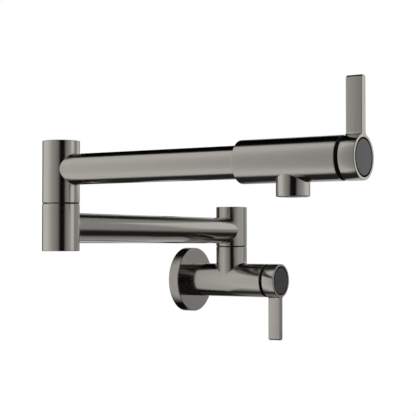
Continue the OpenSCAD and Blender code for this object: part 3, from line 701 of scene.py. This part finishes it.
def finish(name, base, metallic, roughness, grain, bump, swing,
           shift=0.06, wear=0.0, dust=0.0, plain=None):
    """Makes a material from a grain group and the shared edge wear and dust.

    grain is (group name, its values). bump is the height of the lines, swing the change of roughness
    and shift the change of brightness between them. plain sets the shader's own sockets.
    """
    material, tree = new_material(name)
    shader = tree.nodes["Principled BSDF"]
    place = add_node(tree, "TexCoord", output="Object")
    label, values = grain
    lines, cloud = group_node(tree, label, {"Vector": place, **values}, None)
    edges = group_node(tree, "edge_wear", {"Amount": wear})
    dusty = group_node(tree, "settled_dust", {"Vector": place, "Amount": dust})
    mixed = maths(tree, "ADD", maths(tree, "MULTIPLY", lines, LINES_SHARE),
                  maths(tree, "MULTIPLY", cloud, CLOUD_SHARE))
    tint = colour_mix(tree, mixed, shade_of(base, 1 - shift), shade_of(base, 1 + shift))
    worn = colour_mix(tree, edges, tint, shade_of(base, WORN_FACTOR))
    rough = maths(tree, "MULTIPLY_ADD", mixed, 2 * swing, roughness - swing)
    sockets = {
        "Base Color": colour_mix(tree, dusty, worn, DUST_COLOUR),
        "Roughness": maths(tree, "MULTIPLY_ADD", dusty, DUST_ROUGHNESS, rough, clamp=True),
        "Normal": add_node(tree, "Bump", {"Strength": 1.0, "Distance": bump, "Height": lines})}
    for socket, value in sockets.items():
        tree.links.new(value, shader.inputs[socket])
    for socket, value in {"Metallic": metallic, **(plain or {})}.items():
        shader.inputs[socket].default_value = value
    return material


def turned(centre, axis, lines=2600.0, run=90.0):
    """Grain that goes round an axis through centre."""
    return "turned_grain", {
        "Centre": tuple(centre), "Axis": tuple(axis), "Lines": lines, "Run": run}


def gunmetal(name, centre, axis):
    """Satin gunmetal plating, brushed round an axis."""
    look = bpy.context.scene.pot_filler_finish
    return finish(name, look.gunmetal, metallic=1.0, roughness=look.gunmetal_roughness,
                  grain=turned(centre, axis), bump=PLATING_LINES, swing=0.035, wear=0.5, dust=0.04)


def black_plastic(name="moulded_black_plastic"):
    """Moulded matt black plastic, also the black of the painted shade round the hubs' inserts."""
    look = bpy.context.scene.pot_filler_finish
    return bpy.data.materials.get(name) or finish(
        name, look.black_plastic, metallic=0.0, roughness=0.5, grain=("speckle", {"Grains": 2500.0}),
        bump=0.004 * MM, swing=0.08, shift=0.1, plain={"Specular IOR Level": 0.0})


# Pieces


class POTFILLER_OT_flange(Operator):
    """Build the wall flange: a hollow cup with a collar behind its face"""

    bl_idname = "potfiller.flange"
    bl_label = "Wall flange"

    def execute(self, context):
        size = context.scene.pot_filler_sizes
        r, depth = radius("wall_flange"), -lowest("wall_flange")[1]
        hole = radius("wall_valve_body") + SEAT_FIT
        collar = hole + size.collar_wall
        inner, under = r - size.flange_wall, depth - size.flange_wall
        collar_end = under - size.collar_length
        corners = [
            (r, 0, size.flange_round / 2), (r, depth, size.flange_round), (hole, depth, GAP_EDGE),
            (hole, collar_end, HIDDEN_EDGE), (collar, collar_end, HIDDEN_EDGE),
            (collar, under, 2 * HIDDEN_EDGE), (inner, under, 3 * HIDDEN_EDGE),
            (inner, 0, HIDDEN_EDGE)]
        metal = gunmetal("gunmetal_flange", (0, 0, 0), OUT)
        shells = [(turned_shell(corners, (0, 0, 0), OUT), metal)]
        make_piece("flange_cup", shells, "wall_valve", "wall_flange")
        return {"FINISHED"}


class POTFILLER_OT_valve_bodies(Operator):
    """Build both valve bodies, with the riser stub and the thread of the supply inlet"""

    bl_idname = "potfiller.valve_bodies"
    bl_label = "Valve bodies"

    def execute(self, context):
        size = context.scene.pot_filler_sizes
        r = radius("wall_valve_body")
        inlet = frame["record"]["mounts"][0]["dims"]
        crest, depth = inlet["r_mm"] * MM, inlet["length_mm"] * MM
        thread_shoulder, thread_relief = 0.7 * MM, 0.3 * MM
        waterway = crest - thread_shoulder
        recess = crest + size.thread_depth + thread_relief
        tail = [(waterway, depth, 0), (recess, depth, 0), (recess, 0, MOUTH_EDGE)]
        metal = gunmetal("gunmetal_wall_body", WALL_AXIS, OUT)
        skin = self.casting("wall", 0, size.edge_round, waterway, tail)
        body = turned_shell(skin, (0, 0, 0), OUT)
        thread_wall, thread_start, thread_segments = 0.5 * MM, 0.2 * MM, 96
        thread = thread_ring(
            crest, size.thread_depth, size.thread_pitch, depth, thread_wall, thread_segments)
        thread = placed(thread, OUT * thread_start, RIGHT, UP, OUT)
        riser = RISER_AXIS * ON_PLAN
        column, pin = radius("riser_barrel", 1), radius("riser_spigot") + SEAT_FIT
        top = highest("wall_valve_body")[2]
        ends = [(column, top, size.seam_round), (pin, top, HIDDEN_EDGE)]
        stub = branch_surface(column, r, size.stub_fillet, ends, pin, size.segments)
        stub = placed(stub, riser, RIGHT, OUT, UP)
        stub_metal = gunmetal("gunmetal_riser_stub", riser, UP)
        make_piece("wall_body_casting", [(body, metal), (thread, metal), (stub, stub_metal)],
                   "wall_valve", "wall_valve_body")

        start = -highest("spout_valve_body")[1] - size.rear_overlap
        arm, socket = radius("upper_arm_tube") + SEAT_FIT, -lowest("upper_arm_tube")[1]
        tail = [(waterway, socket, 0), (arm, socket, 0), (arm, start, HIDDEN_EDGE)]
        skin = self.casting("spout", start, size.rear_round, waterway, tail)
        foot = SPOUT_AXIS * ON_WALL
        metal = gunmetal("gunmetal_spout_body", foot, OUT)
        make_piece("spout_body_casting", [(turned_shell(skin, foot, OUT), metal)],
                   "upper_arm", "spout_valve_body")
        return {"FINISHED"}

    def casting(self, label, start, rear_edge, waterway, tail):
        """Corners of a valve body: skin, open front, cartridge chamber, seat with its port, tail."""
        size = bpy.context.scene.pot_filler_sizes
        r, chamber = radius("wall_valve_body"), radius("wall_housing_o_ring")
        bore, port = r - size.body_wall, waterway / 2
        front = -lowest(f"{label}_valve_body")[1]
        nut_run, seat_web = 4 * MM, 3 * MM
        shoulder = -highest(f"{label}_bonnet_nut")[1] - nut_run
        seat = -highest(f"{label}_seat_seal")[1]
        seat_back = seat - seat_web
        return [
            (r, start, rear_edge), (r, front, size.edge_round), (bore, front, MOUTH_EDGE),
            (bore, shoulder, 0), (chamber, shoulder, 0), (chamber, seat, 0), (port, seat, 0),
            (port, seat_back, 0), (waterway, seat_back, 0), *tail]


class POTFILLER_OT_columns(Operator):
    """Build the turned barrels of the riser and of the elbow, with their caps and plug"""

    bl_idname = "potfiller.columns"
    bl_label = "Swivel columns"

    def execute(self, context):
        size = context.scene.pot_filler_sizes
        column, cap = radius("riser_barrel", 1), radius("riser_top_cap") + SEAT_FIT
        barrels = (
            ("riser", "riser", "riser_top_cap", "lower_arm", RISER_AXIS, 1),
            ("elbow_upper", "elbow", "elbow_top_cap", "upper_arm", ELBOW_AXIS, 1),
            ("elbow_lower", "elbow", "elbow_bottom_plug", "lower_arm", ELBOW_AXIS, -1),
        )
        for label, swivel, lid, body, axis, up in barrels:
            barrel, foot = f"{label}_barrel", axis * ON_PLAN
            metal = gunmetal(f"gunmetal_{barrel}", foot, UP)
            bore, rim = radius(f"{swivel}_spigot") + BEARING_FIT, radius(lid)
            joint, free = (lowest(barrel)[2], highest(barrel)[2])[::up]
            seat = (lowest(lid) if up > 0 else highest(lid))[2]
            skin = [
                (column, joint, size.seam_round), (column, free, size.edge_round),
                (cap, free, CAP_EDGE), (cap, seat, 0), (bore, seat, 0), (bore, joint, GAP_EDGE)]
            disc = [(0, free, 0), (rim, free, FACE_EDGE), (rim, seat, HIDDEN_EDGE), (0, seat, 0)]
            for part, corners, node in (("skin", skin, barrel), ("lid", disc, lid)):
                shells = [(turned_shell(corners, foot, UP), metal)]
                make_piece(f"{barrel}_{part}", shells, body, node)
        return {"FINISHED"}


class POTFILLER_OT_arms(Operator):
    """Build both arm tubes with their brazed fillets"""

    bl_idname = "potfiller.arms"
    bl_label = "Arm tubes"

    def execute(self, context):
        size = context.scene.pot_filler_sizes
        column, r = radius("riser_barrel", 1), radius("lower_arm_tube", 1)
        start = RISER_AXIS * ON_PLAN + UP * middle("lower_arm_tube")[2]
        distance = RISER_AXIS[0] - ELBOW_AXIS[0]
        metal = gunmetal("gunmetal_lower_arm", start, RIGHT)
        grid = bridge_tube(r, column, size.arm_fillet, size.arm_wall, distance, size.segments)
        grid = placed(grid, start, OUT, UP, -RIGHT)
        make_piece("lower_arm_skin", [(grid, metal)], "lower_arm", "lower_arm_tube")

        start = ELBOW_AXIS * ON_PLAN + UP * middle("upper_arm_tube")[2]
        reach = start[1] - lowest("upper_arm_tube")[1]
        bore = r - size.arm_wall
        metal = gunmetal("gunmetal_upper_arm", start, OUT)
        ends = [(r, reach, HIDDEN_EDGE), (bore, reach, HIDDEN_EDGE)]
        grid = branch_surface(r, column, size.arm_fillet, ends, bore, size.segments)
        grid = placed(grid, start, RIGHT, UP, OUT)
        make_piece("upper_arm_skin", [(grid, metal)], "upper_arm", "upper_arm_tube")
        return {"FINISHED"}


class POTFILLER_OT_outlet(Operator):
    """Build the spout outlet with its brazed fillet and rounded rim"""

    bl_idname = "potfiller.outlet"
    bl_label = "Spout outlet"

    def execute(self, context):
        size = context.scene.pot_filler_sizes
        height = SPOUT_AXIS[2]
        foot = OUTLET_AXIS * ON_PLAN + UP * height
        r, drop = radius("spout_outlet"), height - lowest("spout_outlet")[2]
        thread, shelf = radius("aerator_housing") + SEAT_FIT, height - highest("aerator_washer")[2]
        washer_ledge = 3 * MM
        bore = thread - washer_ledge
        ends = [(r, drop, size.outlet_round), (thread, drop, AERATOR_EDGE), (thread, shelf, 0),
                (bore, shelf, 0)]
        metal = gunmetal("gunmetal_outlet", foot, UP)
        grid = branch_surface(
            r, radius("spout_valve_body"), size.outlet_fillet, ends, bore, size.segments)
        grid = placed(grid, foot, RIGHT, OUT, -UP)
        make_piece("outlet_sleeve", [(grid, metal)], "upper_arm", "spout_outlet")
        return {"FINISHED"}


class POTFILLER_OT_handles(Operator):
    """Build both lever handles with their hubs, rims and recesses"""

    bl_idname = "potfiller.handles"
    bl_label = "Lever handles"

    def execute(self, context):
        size = context.scene.pot_filler_sizes
        look = context.scene.pot_filler_finish
        boss, spline, shank = 7.5 * MM, 4.0 * MM + SEAT_FIT, 2.0 * MM + SEAT_FIT
        screw_length, web_thickness = 14 * MM, 4.2 * MM
        for label, axis, lever_way in (("wall", WALL_AXIS, -UP), ("spout", SPOUT_AXIS, UP)):
            lever, insert = f"{label}_lever_handle", f"{label}_handle_insert"
            screw, ring = f"{label}_handle_screw", f"{label}_spacer_ring"
            hub_r = radius(lever)
            ends = axis[2] - lowest(lever)[2], highest(lever)[2] - axis[2]
            back, face = -lowest(ring)[1] + size.running_gap, -lowest(lever)[1]
            points, normals = lever_outline(
                hub_r, size.lever_thickness / 2, max(ends), size.lever_tip_round,
                size.lever_tip_chamfer, size.lever_fillet)
            recess, floor = radius(insert) + size.insert_gap, -highest(insert)[1]
            well, web = radius(screw) + size.running_gap, -highest(screw)[1] + screw_length
            web_back, stem_end = web - web_thickness, web - web_thickness / 2
            inner, boss_end = hub_r - size.body_wall, -highest(lever)[1]
            arc = np.linspace(0, np.pi / 2, 4)
            lip = np.stack([recess + FACE_EDGE * (1 - np.sin(arc)),
                            face - FACE_EDGE * (1 - np.cos(arc))], -1)
            circles = [
                (recess + 2 * FACE_EDGE, face), *lip, (recess, floor), (well, floor), (well, web),
                (shank, web), (shank, stem_end), (spline, stem_end), (spline, boss_end),
                (boss, boss_end), (boss, web_back), (inner, web_back), (inner, back)]
            grid = lever_casting(points, normals, back, face, size.lever_round, circles)
            grid = placed(grid, axis * ON_WALL, np.cross(lever_way, OUT), lever_way, OUT)
            metal = finish(
                f"gunmetal_{label}_handle", look.gunmetal, metallic=1.0,
                roughness=look.gunmetal_roughness,
                grain=("straight_grain", {"Stretch": (900.0, 900.0, 18.0)}),
                bump=PLATING_LINES, swing=0.035, shift=0.16, wear=0.6, dust=0.03)
            make_piece(
                f"{label}_lever_casting", [(grid, metal)], f"{label}_handle", lever)
        return {"FINISHED"}


class POTFILLER_OT_inserts(Operator):
    """Build the plain round inserts in both hubs: a metal disc with a black ring of painted groove shade
    round it
    """

    bl_idname = "potfiller.inserts"
    bl_label = "Hub inserts"

    def execute(self, context):
        size = context.scene.pot_filler_sizes
        look = context.scene.pot_filler_finish
        # The black ring round each disc, sunk under it, is painted shade of the groove between the disc
        # and the hub's rim.
        groove_shade_black = black_plastic()
        groove_shade_sink, disc_seat = 0.35 * MM, 0.4 * MM
        kinds = (("wall", WALL_AXIS, look.anthracite, 1100.0, 0.5),
                 ("spout", SPOUT_AXIS, look.graphite, 1800.0, 0.1))
        for label, axis, base, grains, shift in kinds:
            node = f"{label}_handle_insert"
            r, back = radius(node), -highest(node)[1]
            disc_r, disc_back = r - size.insert_groove, back + disc_seat
            face = -lowest(f"{label}_lever_handle")[1] - size.insert_sink
            rim = -lowest(node)[1] - groove_shade_sink
            disc = [(0, disc_back, 0), (disc_r, disc_back, 0), (disc_r, face, FACE_EDGE), (0, face, 0)]
            groove_shade = [(0, back, 0), (r, back, HIDDEN_EDGE), (r, rim, HIDDEN_EDGE), (0, rim, 0)]
            metal = finish(
                f"insert_{label}", base, metallic=0.55, roughness=0.36,
                grain=("speckle", {"Grains": grains}), bump=0.006 * MM, swing=0.08, shift=shift)
            shells = [(turned_shell(corners, axis * ON_WALL, OUT), material)
                      for corners, material in ((disc, metal), (groove_shade, groove_shade_black))]
            make_piece(f"{label}_insert_disc", shells, f"{label}_handle", node)
        return {"FINISHED"}


class POTFILLER_OT_spacers(Operator):
    """Build the black spacer rings between the bodies and the hubs"""

    bl_idname = "potfiller.spacers"
    bl_label = "Spacer rings"

    def execute(self, context):
        size = context.scene.pot_filler_sizes
        bore, sleeve_wall = 8.0 * MM, 1.7 * MM
        for label, axis, body in (("wall", WALL_AXIS, "wall_valve"), ("spout", SPOUT_AXIS, "upper_arm")):
            node, valve = f"{label}_spacer_ring", f"{label}_valve_body"
            r, front, back = radius(node), -lowest(node)[1], -highest(node)[1]
            mouth = -lowest(valve)[1]
            sleeve = radius(valve) - size.body_wall - SEAT_FIT
            inside = sleeve - sleeve_wall
            corners = [
                (r, mouth, GAP_EDGE), (r, front, FACE_EDGE), (bore, front, HIDDEN_EDGE),
                (bore, mouth, 0), (inside, mouth, 0), (inside, back, HIDDEN_EDGE),
                (sleeve, back, HIDDEN_EDGE), (sleeve, mouth, 0)]
            shells = [(turned_shell(corners, axis * ON_WALL, OUT), black_plastic())]
            make_piece(f"{label}_spacer", shells, body, node)
        return {"FINISHED"}


class POTFILLER_OT_inner_finishes(Operator):
    """Give the frame's own inner pieces their finishes"""

    bl_idname = "potfiller.inner_finishes"
    bl_label = "Inner finishes"

    def execute(self, context):
        look = context.scene.pot_filler_finish
        # Colour, roughness, height of the speckle, swing, shift and dust of each plain finish.
        kinds = {
            "seal_rubber": (look.rubber, 0.55, 0.008 * MM, 0.1, 0.15, 0.1),
            "disc_ceramic": (look.ceramic, 0.22, 0.001 * MM, 0.05, 0.03, 0.0),
            "white_plastic": (look.nylon, 0.4, 0.003 * MM, 0.08, 0.04, 0.0),
        }
        shared = {"black_plastic": black_plastic()}
        for slot, (base, rough, bump, swing, shift, dust) in kinds.items():
            shared[slot] = finish(
                slot, base, metallic=0.0, roughness=rough, grain=("speckle", {"Grains": 1400.0}),
                bump=bump, swing=swing, shift=shift, dust=dust)
        metals = {"inner_brass": (look.brass, 0.24), "stainless": (look.steel, 0.25)}
        axes = {"wall": (WALL_AXIS, OUT), "spout": (SPOUT_AXIS, OUT), "riser": (RISER_AXIS, UP),
                "elbow": (ELBOW_AXIS, UP), "aerator": (OUTLET_AXIS, UP)}
        for part in frame["record"]["subparts"]:
            node, slot = part["node"], part["material_slot"]
            if slot in metals:
                base, rough = metals[slot]
                grain = turned(*axes[node.split("_")[0]], lines=2200.0, run=60.0)
                material = finish(f"{slot}_{node}", base, metallic=1.0, roughness=rough,
                                  grain=grain, bump=0.002 * MM, swing=0.06)
            elif slot in shared:
                material = shared[slot]
            else:
                continue
            slots = frame["nodes"][node].data.materials
            for place in range(len(slots)):
                slots[place] = material
        return {"FINISHED"}


# Studio


def surface(tree, kind, cover, first, second):
    """Ends a material's or world's tree in a mix of two shaders."""
    both = add_node(tree, "MixShader", {0: cover, 1: first, 2: second})
    add_node(tree, kind, {"Surface": both}, None)


def scrim(tree, across, height):
    """Brightness away / (away + fall), dark in the middle, faded on the right, lifted on the left.

    Its right half is open above and below a height.
    """
    away = maths(tree, "ABSOLUTE", across)
    level = maths(tree, "DIVIDE", away, maths(tree, "ADD", away, SCRIM_FALL))
    for side in (SCRIM_RIGHT_FADE, SCRIM_LEFT_LIFT):
        level = maths(tree, "MULTIPLY", level, ramp(tree, across, *side, kind="LINEAR"))
    right = maths(tree, "GREATER_THAN", across, 0.0)
    outside = maths(tree, "GREATER_THAN", maths(tree, "ABSOLUTE", height), SCRIM_OPENING)
    cover = maths(tree, "SUBTRACT", 1.0, maths(tree, "MULTIPLY", right, outside))
    step = ramp(tree, away, *SCRIM_DARK_MIDDLE)
    return cover, maths(tree, "MULTIPLY_ADD", level, step, SCRIM_DARKEST)


def even_card(brightness):
    """Card of one brightness."""
    return lambda tree, across, height: (1.0, brightness)


def wall_shadow_card(tree, across, height):
    """Painted shadow of the flange on the wall, left of the flange only: dark in the middle, brighter
    further away, with a soft end.
    """
    away = maths(tree, "ABSOLUTE", across)
    step = ramp(tree, away, *WALL_CARD_SHADOW_CORE)
    rise = ramp(tree, away, *WALL_CARD_SHADOW_FADE, kind="LINEAR")
    cover = maths(tree, "MULTIPLY", ramp(tree, away, *WALL_CARD_END),
                  ramp(tree, across, *WALL_CARD_LEFT_ONLY))
    return cover, maths(tree, "MULTIPLY_ADD", step, rise, WALL_CARD_DARKEST)


def wall_shade(right_level):
    """Painted shade on the wall: a dark card with soft ends, whose brightness rises to right_level on
    the right.
    """
    def profile(tree, across, height):
        cover = maths(tree, "MULTIPLY", ramp(tree, across, *WALL_SHADE_LEFT),
                      ramp(tree, across, *WALL_SHADE_RIGHT))
        return cover, ramp(
            tree, across, *WALL_SHADE_RISE, WALL_SHADE_DARKEST, right_level, kind="LINEAR")
    return profile


def mirror_card(name, centre, yaw, half_width, low, high, profile):
    """Upright card that only the metal mirrors. profile gives its cover and its brightness.

    Both are worked out from the distance across the card and from the height.
    """
    corners = [(side * half_width, 0, z) for side, z in ((-1, low), (1, low), (1, high), (-1, high))]
    mesh = bpy.data.meshes.new(name)
    mesh.from_pydata(corners, [], [(0, 1, 2, 3)])
    card = linked(name, mesh)
    card.location = (*centre, 0)
    card.rotation_euler = (0, 0, -yaw)
    card.visible_camera = card.visible_diffuse = card.visible_shadow = False
    material, tree = new_material(name)
    tree.nodes.clear()
    place = add_node(tree, "TexCoord", output="Object")
    across, _, height = add_node(tree, "SeparateXYZ", {0: place}, None)
    cover, level = profile(tree, across, height)
    clear, glow = add_node(tree, "BsdfTransparent"), add_node(tree, "Emission", {"Strength": level})
    surface(tree, "OutputMaterial", cover, clear, glow)
    mesh.materials.append(material)


class POTFILLER_OT_stage(Operator):
    """Set up the white studio, its cards, the pale floor, the lamp and the camera"""

    bl_idname = "potfiller.stage"
    bl_label = "Studio"

    def execute(self, context):
        studio = context.scene.pot_filler_studio
        self.make_world(context.scene, studio.room_level)
        self.make_cards(studio.camera_yaw)
        self.make_floor(studio.floor_middle, studio.floor_radius)
        self.make_lamp(studio.lamp_place, studio.lamp_power)
        camera = linked("camera", bpy.data.cameras.new("camera"))
        camera.location = studio.camera_place
        camera.rotation_euler = (math.pi / 2 + studio.camera_pitch, 0, -studio.camera_yaw)
        camera.data.lens = studio.camera_lens
        camera.data.sensor_width = 36.0
        camera.data.clip_start = 0.05
        context.scene.camera = camera
        context.scene.view_settings.view_transform = "Standard"
        return {"FINISHED"}

    def make_world(self, scene, level):
        """White for the camera; a white room with soft cards for everything the metal mirrors."""
        world = scene.world = bpy.data.worlds.new("studio")
        world.use_nodes = True
        tree = world.node_tree
        tree.nodes.clear()
        direction = add_node(tree, "TexCoord", output="Generated")
        for azimuth, elevation, half_width, half_height, softness, own in STUDIO_CARDS.values():
            turn = math.radians(azimuth)
            level = group_node(tree, "studio_card", {
                "Direction": direction, "Facing": (math.sin(turn), math.cos(turn), 0.0),
                "Elevation": elevation, "Half Width": half_width, "Half Height": half_height,
                "Softness": softness, "Card Level": own, "Level": level})
        room, white = (
            add_node(tree, "Background", {"Color": (1, 1, 1, 1), "Strength": strength})
            for strength in (level, 1.0))
        seen = add_node(tree, "LightPath", output="Is Camera Ray")
        surface(tree, "OutputWorld", seen, room, white)

    def make_cards(self, view_yaw):
        """Scrim on the camera's side, two bright cards, a card with the flange's painted shadow and two
        painted shades on the wall.
        """
        mirror_card("scrim", SCRIM_MIDDLE, view_yaw, SCRIM_HALF_WIDTH,
                    -SCRIM_HALF_HEIGHT, SCRIM_HALF_HEIGHT, scrim)
        for name, (start, end, low, high, brightness) in NEAR_CARDS.items():
            reach = np.subtract(end, start)
            mirror_card(name, np.add(start, end) / 2, -math.atan2(reach[1], reach[0]),
                        math.hypot(*reach) / 2, low, high, even_card(brightness))
        # Card and shades whose brightness paints the wall's shadow round the flange and under and over
        # the object, seen only in the metal.
        mirror_card("wall_shadow_card", WALL_CARDS_MIDDLE, 0.0, WALL_CARD_HALF_WIDTH,
                    -WALL_CARD_HALF_HEIGHT, WALL_CARD_HALF_HEIGHT, wall_shadow_card)
        for name, (low, high, right_level) in WALL_SHADES.items():
            mirror_card(name, WALL_CARDS_MIDDLE, 0.0, WALL_SHADE_HALF_WIDTH, low, high,
                        wall_shade(right_level))

    def make_floor(self, place, floor_radius, corners=64, fade=0.35):
        """Pale floor disc that fades out towards its edge and keeps the object's shadow."""
        mesh = bpy.data.meshes.new("floor")
        ring = rings(1, 0, full_turn(corners)) * floor_radius
        mesh.from_pydata(ring.tolist(), [], [tuple(range(corners))])
        floor = linked("floor", mesh)
        floor.location = place
        floor.visible_glossy = False
        material, tree = new_material("pale_floor")
        shader = tree.nodes["Principled BSDF"]
        away = vector_maths(tree, "LENGTH", add_node(tree, "TexCoord", output="Object"))
        tree.links.new(ramp(tree, away, floor_radius, floor_radius * fade), shader.inputs["Alpha"])
        shader.inputs["Base Color"].default_value = (0.86, 0.86, 0.85, 1.0)
        shader.inputs["Roughness"].default_value = 0.9
        mesh.materials.append(material)

    def make_lamp(self, place, power):
        """Soft lamp from above that gives the floor a shadow and isn't mirrored by the metal."""
        lamp = bpy.data.lights.new("top_lamp", "AREA")
        lamp.shape = "DISK"
        lamp.size = 0.5
        lamp.energy = power
        holder = linked("top_lamp", lamp)
        holder.location = place
        holder.visible_glossy = False


# Add-on

GROUPS = {
    "pot_filler_sizes": PotFillerSizes,
    "pot_filler_finish": PotFillerFinish,
    "pot_filler_studio": PotFillerStudio,
}

STEPS = (
    POTFILLER_OT_flange,
    POTFILLER_OT_valve_bodies,
    POTFILLER_OT_columns,
    POTFILLER_OT_arms,
    POTFILLER_OT_outlet,
    POTFILLER_OT_handles,
    POTFILLER_OT_inserts,
    POTFILLER_OT_spacers,
    POTFILLER_OT_inner_finishes,
    POTFILLER_OT_stage,
)


class POTFILLER_PT_panel(Panel):
    """Sizes, finishes and building steps of the pot filler"""

    bl_idname = "POTFILLER_PT_panel"
    bl_label = "Pot filler"
    bl_space_type = "VIEW_3D"
    bl_region_type = "UI"
    bl_category = "Pot filler"

    def draw(self, context):
        for name, group in GROUPS.items():
            box = self.layout.box()
            for setting in group.__annotations__:
                box.prop(getattr(context.scene, name), setting)
        for step in STEPS:
            self.layout.operator(step.bl_idname)


def register():
    for name, group in GROUPS.items():
        bpy.utils.register_class(group)
        setattr(bpy.types.Scene, name, PointerProperty(type=group))
    for step in (*STEPS, POTFILLER_PT_panel):
        bpy.utils.register_class(step)


def unregister():
    for step in (POTFILLER_PT_panel, *reversed(STEPS)):
        bpy.utils.unregister_class(step)
    for name, group in GROUPS.items():
        delattr(bpy.types.Scene, name)
        bpy.utils.unregister_class(group)


def plain(bounds):
    """Corners as plain lists of numbers."""
    return [list(corner) for corner in bounds]


def main():
    """Registers the classes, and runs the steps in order."""
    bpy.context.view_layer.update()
    register()
    for step in STEPS:
        group, name = step.bl_idname.split(".")
        getattr(getattr(bpy.ops, group), name)()


if __name__ == "__main__":
    main()
